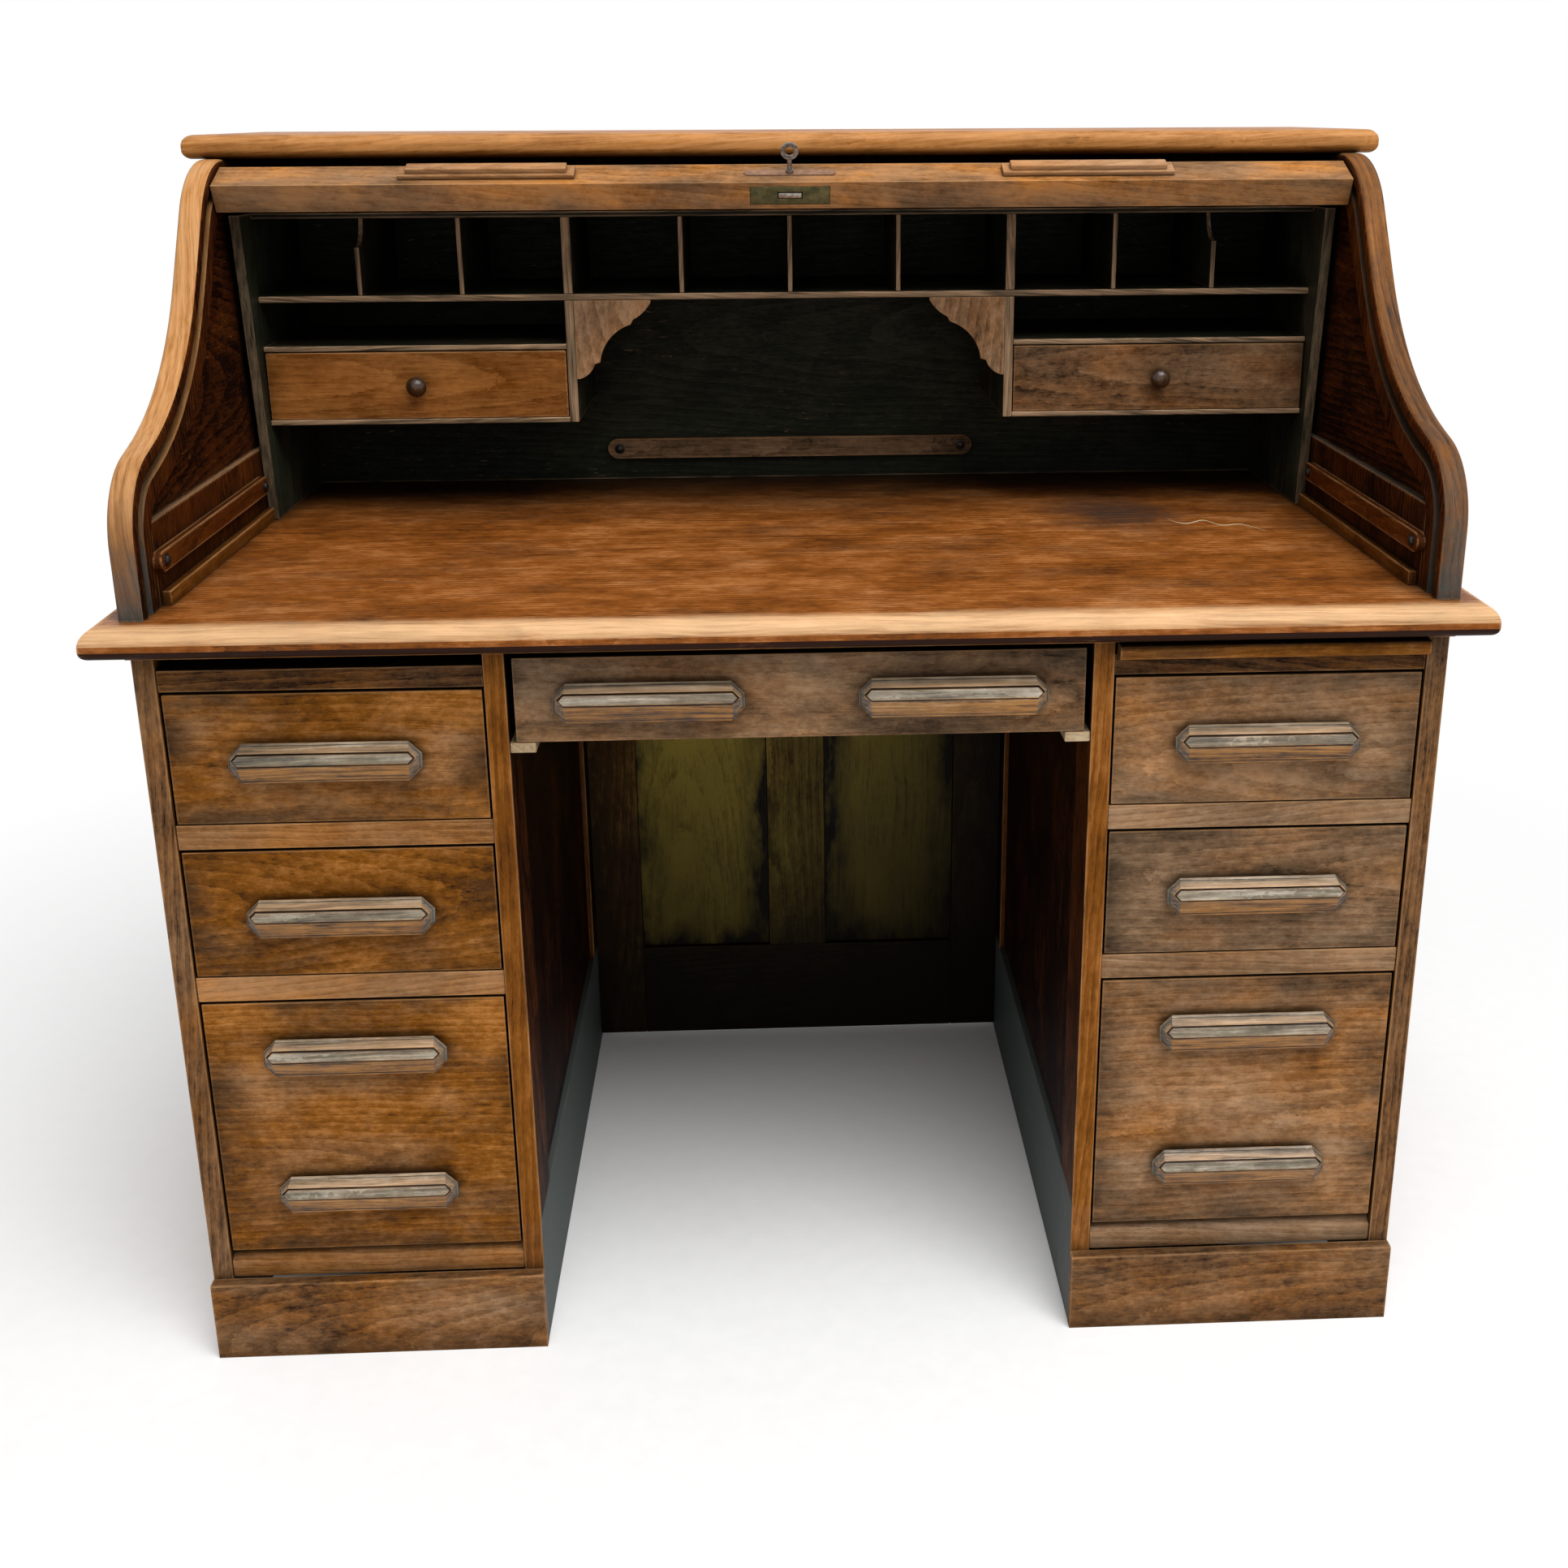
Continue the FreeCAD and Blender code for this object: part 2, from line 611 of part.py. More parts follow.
def gable_frame():
    """S stile, bottom rail and back stile of the right gable."""
    groove = groove_cutter()
    moves = S_MOVES + [(BACK - SHOULDER_Y, 0.0)]
    stile = strip(S_START, 90.0, moves, 0.0, S_STILE_WIDTH, GABLE_IN, GABLE_OUT)

    def on_front(edge):
        bounds = edge.BoundBox
        flat = bounds.XLength < 1e-6
        start = edge.Vertexes[0].Point
        distance = min(probe.distToShape(Part.Vertex(start))[0] for probe in probes)
        end = edge.Vertexes[-1].Point
        far = min(probe.distToShape(Part.Vertex(end))[0] for probe in probes)
        return flat and distance < 1e-4 and far < 1e-4 and bounds.ZMax < TOP_UNDER - 1e-6

    probes = []
    for x in (GABLE_IN, GABLE_OUT):
        probes += trace(S_START, 90.0, S_MOVES[:-1], 0.0, x)[0]
    rounded = [edge for edge in stile.Edges if on_front(edge)]
    stile = stile.makeFillet(S_EDGE_RADIUS, rounded).cut(groove)
    rail_top = WRITING_HEIGHT + GABLE_RAIL_HEIGHT
    rail_front = GABLE_FOOT + S_STILE_WIDTH
    back_front = BACK - GABLE_BACK_STILE
    stile_under = TOP_UNDER - S_STILE_WIDTH
    rail = box(GABLE_IN, GABLE_OUT, rail_front, back_front, WRITING_HEIGHT, rail_top).cut(stile)
    rear = box(GABLE_IN, GABLE_OUT, back_front, BACK, WRITING_HEIGHT, stile_under).cut(groove)
    return [stile, rail, rear]


def gable_panel():
    """The recessed panel inside the gable frame."""
    moves = S_MOVES + [(BACK - SHOULDER_Y, 0.0)]
    middle = (GABLE_IN + GABLE_OUT) / 2
    x0, x1 = middle - GABLE_PANEL_THICK / 2, middle + GABLE_PANEL_THICK / 2
    edges, first, last = trace(S_START, 90.0, moves, S_STILE_WIDTH, x0)
    corner = Vector(x0, last.y, first.z)
    edges += [Part.LineSegment(last, corner).toShape(), Part.LineSegment(corner, first).toShape()]
    plate = Part.Face(Part.Wire(Part.__sortEdges__(edges))).extrude(Vector(x1 - x0, 0, 0))
    window = box(x0, x1, first.y, BACK - GABLE_BACK_STILE,
                 WRITING_HEIGHT + GABLE_RAIL_HEIGHT, TOP_UNDER)
    return plate.common(window)


def upper_back_frame():
    y0, y1 = BACK - UPPER_BACK_THICK, BACK
    xa, xb = UPPER_BACK_STILE / 2, GABLE_IN - UPPER_BACK_STILE
    z0, z1 = WRITING_HEIGHT, TOP_UNDER
    low, high = z0 + UPPER_BACK_RAIL, z1 - UPPER_BACK_RAIL
    return both([box(xb, GABLE_IN, y0, y1, z0, z1)]) + [
        box(-xb, xb, y0, y1, z0, low),
        box(-xb, xb, y0, y1, high, z1),
        box(-xa, xa, y0, y1, low, high)]


def upper_back_panel():
    middle = BACK - UPPER_BACK_THICK / 2
    return box(UPPER_BACK_STILE / 2, GABLE_IN - UPPER_BACK_STILE,
               middle - UPPER_BACK_PANEL / 2, middle + UPPER_BACK_PANEL / 2,
               WRITING_HEIGHT + UPPER_BACK_RAIL, TOP_UNDER - UPPER_BACK_RAIL)


# Tambour curtain

def groove_pose(run):
    """Place and heading on the groove, run along it from the shoulder's last point."""
    if run < 0:
        angle = -run / GROOVE_RADIUS
        return (SHOULDER_CENTRE[0] - GROOVE_RADIUS * math.sin(angle),
                SHOULDER_CENTRE[1] + GROOVE_RADIUS * math.cos(angle), angle)
    if run < FLAT_RUN:
        return SHOULDER_CENTRE[0] + run, SHOULDER_CENTRE[1] + GROOVE_RADIUS, 0.0
    if run < FLAT_RUN + CORNER_RUN:
        angle = (run - FLAT_RUN) / CORNER_RADIUS
        return (CORNER_CENTRE[0] + CORNER_RADIUS * math.sin(angle),
                CORNER_CENTRE[1] + CORNER_RADIUS * math.cos(angle), -angle)
    return BACK_RUN, CORNER_CENTRE[1] - (run - FLAT_RUN - CORNER_RUN), -math.pi / 2


def on_groove(pose, along, out):
    """The y and z of a point along the heading and out from the groove's middle."""
    y, z, heading = pose
    return (y + along * math.cos(heading) - out * math.sin(heading),
            z + along * math.sin(heading) + out * math.cos(heading))


def groove_prism(pose, outline, x0, x1):
    return prism([on_groove(pose, along, out) for along, out in outline], x0, x1)


def tongue(pose):
    """The tongue at the right-hand end, resting on the groove's inner wall."""
    half = TONGUE_WIDTH / 2
    outline = [(-half, -SLAT_INNER), (half, -SLAT_INNER), (half, TONGUE_OUTER), (-half, TONGUE_OUTER)]
    x0 = GABLE_IN - SLAT_END_GAP
    return groove_prism(pose, outline, x0, x0 + TONGUE_LENGTH)


def slat(run):
    """One slat with bevelled outer edges and a tongue at each end."""
    pose = groove_pose(run)
    half = SLAT_WIDTH / 2
    flat = half - SLAT_BEVEL
    shoulder = SLAT_OUTER - SLAT_BEVEL
    outline = [(-half, -SLAT_INNER), (half, -SLAT_INNER), (half, shoulder),
               (flat, SLAT_OUTER), (-flat, SLAT_OUTER), (-half, shoulder)]
    end = GABLE_IN - SLAT_END_GAP
    body = groove_prism(pose, outline, -end, end)
    return body.multiFuse(both([tongue(pose)]))


LEAD_RUN = -GROOVE_RADIUS * math.radians(LEAD_ANGLE)
LEAD_POSE = groove_pose(LEAD_RUN)
FIRST_SLAT = LEAD_RUN + LEAD_WIDTH / 2 + LEAD_GAP + SLAT_WIDTH / 2
# The pitch sets two slats evenly astride the start of the corner, half way through the travel
MIDDLE_RUN = FLAT_RUN + TAMBOUR_TRAVEL / 2 - FIRST_SLAT
TOP_SLATS = math.floor(MIDDLE_RUN / (SLAT_WIDTH + SLAT_GAP) - 0.5)
SLAT_PITCH = MIDDLE_RUN / (TOP_SLATS + 0.5)
LAST_RUN = FLAT_RUN + CORNER_RUN + BACK_DROP - TONGUE_WIDTH


def slat_groups():
    """Runs of the slats of each group: on the shoulder, the flat, the corner and the back."""
    reach = TAMBOUR_TRAVEL / 2
    limits = (reach, FLAT_RUN + reach, FLAT_RUN + CORNER_RUN + reach)
    groups = ([], [], [], [])
    run = FIRST_SLAT
    while run < LAST_RUN:
        index = sum(run > limit for limit in limits)
        groups[index].append(run)
        run += SLAT_PITCH
    return groups


def lead_point(x, along, out):
    y, z = on_groove(LEAD_POSE, along, out)
    return Vector(x, y, z)


def lead_block(x0, x1, along0, along1, out0, out1):
    outline = [(along0, out0), (along1, out0), (along1, out1), (along0, out1)]
    return groove_prism(LEAD_POSE, outline, x0, x1)


def lead_cylinder(radius, out0, out1):
    y, z, heading = LEAD_POSE
    axis = Vector(0, -math.sin(heading), math.cos(heading))
    return Part.makeCylinder(radius, out1 - out0, lead_point(0, 0, out0), axis)


def lead_rail():
    """The heavy bottom rail of the tambour, with its lock pocket and key hole."""
    end = GABLE_IN - SLAT_END_GAP
    edge = -LEAD_WIDTH / 2
    body = lead_block(-end, end, edge, -edge, -LEAD_INNER, LEAD_OUTER)
    body = body.multiFuse(both([tongue(LEAD_POSE)]))
    plate = lock_plate_blank()
    bolt_half = BOLT_WIDTH / 2 + BOLT_CLEARANCE
    bolt_thick = BOLT_THICK / 2 + BOLT_CLEARANCE
    middle = lock_middle()
    depth = BOLT_LENGTH + BOLT_CLEARANCE
    pocket = lead_block(-bolt_half, bolt_half, edge, edge + depth, middle - bolt_thick, middle + bolt_thick)
    hole_end = LEAD_OUTER - KEY_REACH - KEY_CLEARANCE
    hole = lead_cylinder(KEY_SHAFT_RADIUS + KEY_CLEARANCE, hole_end, LEAD_OUTER)
    return body.cut(plate).cut(pocket).cut(hole)


def lock_middle():
    return (LEAD_OUTER - LEAD_INNER) / 2


def lock_plate_blank():
    edge = -LEAD_WIDTH / 2
    half = LOCK_PLATE_WIDTH / 2
    middle = lock_middle()
    return lead_block(-LOCK_PLATE_LENGTH / 2, LOCK_PLATE_LENGTH / 2, edge, edge + LOCK_PLATE_THICK,
                      middle - half, middle + half)


def lock_plate():
    edge = -LEAD_WIDTH / 2
    half = BOLT_WIDTH / 2 + BOLT_CLEARANCE
    thick = BOLT_THICK / 2 + BOLT_CLEARANCE
    middle = lock_middle()
    window = lead_block(-half, half, edge, edge + LOCK_PLATE_THICK, middle - thick, middle + thick)
    return lock_plate_blank().cut(window)


def lock_bolt():
    edge = -LEAD_WIDTH / 2
    middle = lock_middle()
    return lead_block(-BOLT_WIDTH / 2, BOLT_WIDTH / 2, edge - BOLT_PROUD, edge + BOLT_LENGTH - BOLT_PROUD,
                      middle - BOLT_THICK / 2, middle + BOLT_THICK / 2)


def escutcheon():
    """A long plate with round ends and a key hole, on the lead rail's outer face."""
    flat = (ESCUTCHEON_LENGTH - ESCUTCHEON_WIDTH) / 2
    half = ESCUTCHEON_WIDTH / 2
    plate = lead_block(-flat, flat, -half, half, LEAD_OUTER, LEAD_OUTER + ESCUTCHEON_THICK)
    round_end = lead_cylinder(half, LEAD_OUTER, LEAD_OUTER + ESCUTCHEON_THICK)
    ends = []
    for x in (-flat, flat):
        end = round_end.copy()
        end.translate(Vector(x, 0, 0))
        ends.append(end)
    hole = lead_cylinder(KEY_SHAFT_RADIUS + KEY_CLEARANCE, LEAD_OUTER, LEAD_OUTER + ESCUTCHEON_THICK)
    return plate.multiFuse(ends).removeSplitter().cut(hole)


def key():
    """The key in the lead rail: a shaft, a collar and a pierced bow."""
    top = LEAD_OUTER + ESCUTCHEON_THICK + RUN_CLEARANCE
    shaft = lead_cylinder(KEY_SHAFT_RADIUS, LEAD_OUTER - KEY_REACH, top + KEY_STEM)
    collar = lead_cylinder(KEY_COLLAR_RADIUS, top, top + KEY_COLLAR_HEIGHT)
    bow_out = top + KEY_STEM + KEY_BOW_RADIUS - KEY_CLEARANCE
    y, z, heading = LEAD_POSE
    along = Vector(0, math.cos(heading), math.sin(heading))
    centre = lead_point(0, -KEY_BOW_THICK / 2, bow_out)
    bow = Part.makeCylinder(KEY_BOW_RADIUS, KEY_BOW_THICK, centre, along)
    pierced = Part.makeCylinder(KEY_BOW_HOLE, KEY_BOW_THICK, centre, along)
    return shaft.multiFuse([collar, bow.cut(pierced)])


def rail_pull(x):
    """A stepped finger pull on the lead rail's outer face."""
    half, wide = RAIL_PULL_LENGTH / 2, RAIL_PULL_WIDTH / 2
    base_top = LEAD_OUTER + RAIL_PULL_BASE
    base = lead_block(x - half, x + half, -wide, wide, LEAD_OUTER, base_top)
    inner = half - RAIL_PULL_STEP
    narrow = wide - RAIL_PULL_STEP / 2
    ridge = lead_block(x - inner, x + inner, -narrow, narrow, base_top, LEAD_OUTER + RAIL_PULL_HEIGHT)
    return base.fuse(ridge)


def tambour():
    shoulder, flat, corner, rear = [[slat(run) for run in group] for group in slat_groups()]
    save("tambour_lead_rail", [lead_rail()])
    save("tambour_pulls", [rail_pull(side * RAIL_PULL_SPREAD) for side in (-1, 1)])
    save("tambour_lock_plate", [lock_plate()])
    save("tambour_lock_bolt", [lock_bolt()])
    save("tambour_escutcheon", [escutcheon()])
    save("tambour_key", [key()])
    save("tambour_first_slat", shoulder)
    save("tambour_flat_slats", flat)
    save("tambour_corner_slats", corner)
    save("tambour_back_slats", rear)


# Pigeonhole unit

def unit_end():
    """An end board whose front edge leans forward towards its top."""
    outline = [(UNIT_FACE - END_FOOT_REACH, WRITING_HEIGHT), (UNIT_REAR, WRITING_HEIGHT),
               (UNIT_REAR, UNIT_TOP), (UNIT_FACE - END_TOP_REACH, UNIT_TOP)]
    return prism(outline, END_IN, END_OUT)


def unit_top():
    return box(-END_IN, END_IN, UNIT_FACE, UNIT_REAR, UNIT_TOP - UNIT_BOARD, UNIT_TOP)


def interior_back():
    return box(-END_OUT, END_OUT, UNIT_REAR, UNIT_REAR + UNIT_BACK_THICK, WRITING_HEIGHT, UNIT_TOP)


def divider_edges():
    """Inner and outer face of the right-hand main divider."""
    return MAIN_DIVIDER_PLACE - MAIN_DIVIDER_THICK / 2, MAIN_DIVIDER_PLACE + MAIN_DIVIDER_THICK / 2


def main_divider_parts():
    """The upper and lower board of the right-hand main divider, above and below the shelf."""
    x0, x1 = divider_edges()
    return [box(x0, x1, UNIT_FACE, UNIT_REAR, SHELF_HEIGHT, UNIT_TOP - UNIT_BOARD),
            box(x0, x1, UNIT_FACE, UNIT_REAR, UNIT_BOTTOM, SHELF_HEIGHT - SHELF_THICK)]


def unit_shelf():
    return box(-END_IN, END_IN, UNIT_FACE, UNIT_REAR, SHELF_HEIGHT - SHELF_THICK, SHELF_HEIGHT)


def lower_boards():
    """The tray above a small drawer and the board below it, on the right."""
    x0 = divider_edges()[1]
    return [box(x0, END_IN, UNIT_FACE, UNIT_REAR, TRAY_HEIGHT - UNIT_BOARD, TRAY_HEIGHT),
            box(x0, END_IN, UNIT_FACE, UNIT_REAR, UNIT_BOTTOM, UNIT_BOTTOM + UNIT_BOARD)]


def thin_divider(x, scoop):
    """A thin upright; its front top corner is scooped away where scoop is true."""
    x0, x1 = x - THIN_DIVIDER / 2, x + THIN_DIVIDER / 2
    top = UNIT_TOP - UNIT_BOARD
    board = box(x0, x1, UNIT_FACE, UNIT_REAR, SHELF_HEIGHT, top)
    if scoop:
        cutter = Part.makeCylinder(DIVIDER_SCOOP, THIN_DIVIDER, Vector(x0, UNIT_FACE, top), Vector(1, 0, 0))
        board = board.cut(cutter)
    return board


def thin_dividers():
    inner, outer = divider_edges()
    side_step = (END_IN - outer) / SIDE_BAYS
    dividers = []
    for number in range(1, SIDE_BAYS):
        scoop = number == SIDE_BAYS - 1
        dividers += both([thin_divider(outer + side_step * number, scoop)])
    centre_step = 2 * inner / CENTRE_BAYS
    for number in range(1, CENTRE_BAYS):
        dividers.append(thin_divider(-inner + centre_step * number, False))
    return dividers


def bracket():
    """A corner bracket on the right, below the shelf: a round, a long hollow and a round."""
    x1 = divider_edges()[0]
    z1 = SHELF_HEIGHT - SHELF_THICK
    w, d, f = BRACKET_WIDTH, BRACKET_DROP, BRACKET_FLAT

    def at(across, down):
        return Vector(x1 - across * w, UNIT_FACE, z1 - down * d)

    tip = Vector(x1 - w, UNIT_FACE, z1 - f)
    foot = Vector(x1 - f, UNIT_FACE, z1 - d)
    notch_a, notch_b = at(0.76, 0.25), at(0.73, 0.31)
    notch_c, notch_d = at(0.31, 0.79), at(0.24, 0.81)
    edges = [Part.LineSegment(at(0, 0), at(1, 0)).toShape(),
             Part.LineSegment(at(1, 0), tip).toShape(),
             Part.Arc(tip, at(0.88, 0.175), notch_a).toShape(),
             Part.LineSegment(notch_a, notch_b).toShape(),
             Part.Arc(notch_b, at(0.52, 0.42), notch_c).toShape(),
             Part.LineSegment(notch_c, notch_d).toShape(),
             Part.Arc(notch_d, at(0.14, 0.95), foot).toShape(),
             Part.LineSegment(foot, at(0, 1)).toShape(),
             Part.LineSegment(at(0, 1), at(0, 0)).toShape()]
    face = Part.Face(Part.Wire(edges))
    return face.extrude(Vector(0, BRACKET_THICK, 0))


def small_drawer():
    x0, x1 = divider_edges()[1] + SMALL_GAP, END_IN - SMALL_GAP
    z0 = UNIT_BOTTOM + UNIT_BOARD + RUN_CLEARANCE
    z1 = TRAY_HEIGHT - UNIT_BOARD - SMALL_GAP
    parts = drawer(x0, x1, z0, z1, UNIT_DEPTH - SMALL_FRONT_THICK, UNIT_FACE, SMALL_FRONT_THICK,
                   SMALL_SIDE_THICK, SMALL_BOTTOM_THICK, 0.0, SMALL_DROP)
    return parts, (x0 + x1) / 2, (z0 + z1) / 2


def knob(x, z):
    """A turned knob with a neck and a rounded head."""
    rim_height = (KNOB_NECK + KNOB_LENGTH) / 2
    crown_height = KNOB_LENGTH - rim_height
    crown_radius = (KNOB_RADIUS ** 2 + crown_height ** 2) / (2 * crown_height)
    half_angle = math.asin(KNOB_RADIUS / crown_radius) / 2
    foot = Vector(0, 0, 0)
    side = Vector(KNOB_NECK_RADIUS, 0, 0)
    neck = Vector(KNOB_NECK_RADIUS, 0, KNOB_NECK)
    rim = Vector(KNOB_RADIUS, 0, rim_height)
    top = Vector(0, 0, KNOB_LENGTH)
    middle = Vector(crown_radius * math.sin(half_angle), 0,
                    KNOB_LENGTH - crown_radius * (1 - math.cos(half_angle)))
    edges = [Part.LineSegment(a, b).toShape() for a, b in ((foot, side), (side, neck), (neck, rim))]
    edges += [Part.Arc(rim, middle, top).toShape(), Part.LineSegment(top, foot).toShape()]
    turned = Part.Face(Part.Wire(edges)).revolve(Vector(0, 0, 0), Vector(0, 0, 1), 360)
    turned.rotate(Vector(0, 0, 0), Vector(1, 0, 0), 90)
    turned.translate(Vector(x, UNIT_FACE, z))
    return turned


# Letter rails

def round_ended(length, height, thick):
    """A strip lying along X with half-round ends, standing on z = 0 with its face to -Y."""
    radius = height / 2
    flat = length / 2 - radius
    bar = box(-flat, flat, 0, thick, 0, height)
    ends = [Part.makeCylinder(radius, thick, Vector(x, 0, radius), Vector(0, 1, 0)) for x in (-flat, flat)]
    return bar.multiFuse(ends).removeSplitter()


def back_bill_rail():
    rail = round_ended(2 * BACK_BILL_HALF, BACK_BILL_HEIGHT, BILL_RAIL_THICK)
    rail.translate(Vector(0, UNIT_REAR - BILL_RAIL_THICK, WRITING_HEIGHT + BACK_BILL_LOW))
    return rail


def gable_bill_rail():
    y0, y1 = FRONT + GABLE_BILL_FRONT, UNIT_FACE - END_FOOT_REACH - GABLE_BILL_GAP
    rail = round_ended(y1 - y0, GABLE_BILL_HEIGHT, BILL_RAIL_THICK)
    rail.rotate(Vector(0, 0, 0), Vector(0, 0, 1), -90)
    rail.translate(Vector(GABLE_IN - BILL_RAIL_THICK, (y0 + y1) / 2, WRITING_HEIGHT + GABLE_BILL_LOW))
    return rail


def gable_slip():
    """A low slip in the corner of the gable and the writing top, as far as the leaning end board."""
    lean = (END_TOP_REACH - END_FOOT_REACH) * SLIP_HEIGHT / (UNIT_TOP - WRITING_HEIGHT)
    y1 = UNIT_FACE - END_FOOT_REACH - lean
    return box(GABLE_IN - SLIP_THICK, GABLE_IN, FRONT + SLIP_FRONT, y1,
               WRITING_HEIGHT, WRITING_HEIGHT + SLIP_HEIGHT)


# Groups of pieces

def save_pedestals():
    levels = drawer_levels()
    save("outer_side_frames", both(side_frame(BAY_OUT, HALF_OUT)))
    save("outer_side_panels", both([side_panel(BAY_OUT, HALF_OUT)]))
    save("inner_side_frames", both(side_frame(HALF_IN, BAY_IN)))
    save("inner_side_panels", both([side_panel(HALF_IN, BAY_IN)]))
    save("plinths", both([plinth()]))
    save("drawer_rails", both(drawer_rails(levels)))
    save("drawer_and_slide_runners", both(drawer_runners(levels) + slide_runners()))
    save("centre_drawer_runners", both([centre_runner()]))
    save("pedestal_back_frames", both(pedestal_back_frame()))
    save("pedestal_back_panels", both([pedestal_back_panel()]))
    pedestal_drawers(levels)


def save_unit():
    save("pigeonhole_ends", both([unit_end()]))
    save("pigeonhole_top", [unit_top()])
    save("pigeonhole_shelf", [unit_shelf()])
    save("pigeonhole_main_dividers", both(main_divider_parts()))
    save("pigeonhole_thin_dividers", thin_dividers())
    save("pigeonhole_lower_boards", both(lower_boards()))
    save("pigeonhole_brackets", both([bracket()]))
    save("interior_back", [interior_back()])
    parts, x, z = small_drawer()
    save_pair("small_drawer", parts)
    save_pair("small_drawer_knob", [knob(x, z)])


def save_upper():
    save("top_board", [top_board(SHOULDER_Y)])
    save_pair("gable_frame", gable_frame())
    save("gable_panels", both([gable_panel()]))
    save("upper_back_frame", upper_back_frame())
    save("upper_back_panels", both([upper_back_panel()]))
    save("back_bill_rail", [back_bill_rail()])
    save("gable_bill_rails", both([gable_bill_rail()]))
    save("gable_slips", both([gable_slip()]))


os.makedirs("parts", exist_ok=True)
save("writing_top", [writing_top()])
save("subframe", subframe())
save("modesty_frame", modesty_frame())
save("modesty_panels", both([modesty_panel()]))
save("writing_slide", writing_slide())
centre_drawer()
save_pedestals()
save_upper()
save_unit()
tambour()
print("groove runs %.1f mm flat, corner %.1f mm" % (FLAT_RUN, CORNER_RUN))
print("shoulder centre", SHOULDER_CENTRE, "corner centre", CORNER_CENTRE)
print("slats", [len(group) for group in slat_groups()])
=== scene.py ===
import json
import math
import random
from collections import Counter

import bmesh
import bpy
from mathutils import Matrix, Vector

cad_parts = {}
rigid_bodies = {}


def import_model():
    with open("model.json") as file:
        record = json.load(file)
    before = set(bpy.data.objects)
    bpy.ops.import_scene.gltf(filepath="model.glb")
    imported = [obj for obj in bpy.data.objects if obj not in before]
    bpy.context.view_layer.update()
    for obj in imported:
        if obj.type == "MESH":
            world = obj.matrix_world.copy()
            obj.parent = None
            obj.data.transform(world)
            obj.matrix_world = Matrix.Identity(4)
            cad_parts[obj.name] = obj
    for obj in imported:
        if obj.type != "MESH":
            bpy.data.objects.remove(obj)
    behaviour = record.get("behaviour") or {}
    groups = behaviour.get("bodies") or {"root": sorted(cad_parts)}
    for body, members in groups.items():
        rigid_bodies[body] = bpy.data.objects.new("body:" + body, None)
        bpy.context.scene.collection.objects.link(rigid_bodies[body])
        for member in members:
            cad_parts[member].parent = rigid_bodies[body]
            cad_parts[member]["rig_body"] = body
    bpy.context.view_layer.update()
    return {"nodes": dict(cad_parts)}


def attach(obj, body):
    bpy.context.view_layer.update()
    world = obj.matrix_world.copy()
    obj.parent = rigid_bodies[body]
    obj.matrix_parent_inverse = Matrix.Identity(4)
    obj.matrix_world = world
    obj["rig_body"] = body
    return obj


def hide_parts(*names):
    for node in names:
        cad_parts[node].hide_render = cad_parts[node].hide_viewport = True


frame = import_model()

# The axes across the desk, into it and up
X, Y, Z = range(3)

# Camera, in metres, degrees and pixels of the square picture
PICTURE = 1932.0
CAMERA_PLACE = Vector((-0.0246, -1.8070, 1.2128))
CAMERA_YAW = 2.602
CAMERA_PITCH = 17.333
CAMERA_ROLL = -0.255
FOCAL_PIXELS = 2117.1
CENTRE_PIXEL = (1045.7, 797.3)
SENSOR = 36.0

# The softbox: its place, what it is turned to, its side in metres and its power in watts
LAMP_PLACE = (0.9, -2.2, 4.75)
LAMP_TARGET = (0.0, -0.2, 0.4)
LAMP_SIZE = 3.3
LAMP_POWER = 258.0

# Floor: how far it reaches and where it turns plain white, in metres, its colours, and the world's light
FLOOR_REACH = 14.0
FLOOR_NEAR = 0.50
FLOOR_FAR = 1.80
FLOOR_DULL = (0.94, 0.94, 0.94)
FLOOR_BRIGHT = (0.97, 0.97, 0.97)
FLOOR_SPECKLE = 40.0
WHITE = (1.0, 1.0, 1.0)
WORLD_LIGHT = 0.38

# Boards: how far and in how many steps edges are eased, and which count as sharp, in metres and degrees
EASED = 0.0012
EASING_STEPS = 2
SHARP_EDGE = 38.0
FLAT_FACE = 0.2

# Where in its tree a piece is cut: along the grain, across it and from the heart in metres, and how it leans
ALONG_SHIFT = 3.0
BOARD_SHIFT = 0.05
BOARD_HEART = (0.03, 0.10)
BOARD_LEAN = 0.12
PULL_SHIFT = 0.02
PULL_HEART = (0.03, 0.08)

# How much lighter or darker than its neighbours a board may be
BOARD_SPREAD = 0.06

# How straight on an edge must face to count as a front, and how far grain is drawn out round a curved edge
FACING = 0.75
CURVE_SQUEEZE = 0.06

# The oak's colours from dark to light, as linear values
OAK = ((0.014, 0.003, 0.0005), (0.222, 0.074, 0.005), (0.500, 0.205, 0.050))
GREY_OAK = ((0.026, 0.014, 0.007), (0.240, 0.140, 0.074), (0.460, 0.300, 0.180))
RED_OAK = ((0.006, 0.001, 0.0005), (0.115, 0.028, 0.004), (0.340, 0.130, 0.030))
TOP_OAK = ((0.022, 0.005, 0.001), (0.238, 0.070, 0.010), (0.560, 0.230, 0.075))
KNEE_OAK = ((0.006, 0.004, 0.001), (0.105, 0.073, 0.008), (0.580, 0.425, 0.062))
# The inside oak is near black: painted shade inside the pigeonholes, with a green cast as a painted sheen
SHADED_INSIDE_OAK = ((0.001, 0.001, 0.001), (0.012, 0.016, 0.010), (0.052, 0.058, 0.036))
PALE_OAK = ((0.190, 0.130, 0.070), (0.440, 0.330, 0.200), (0.600, 0.480, 0.320))
KNOB_OAK = ((0.004, 0.002, 0.001), (0.040, 0.018, 0.007), (0.110, 0.055, 0.022))
PULL_OAK = ((0.020, 0.006, 0.001), (0.290, 0.112, 0.008), (0.560, 0.290, 0.075))
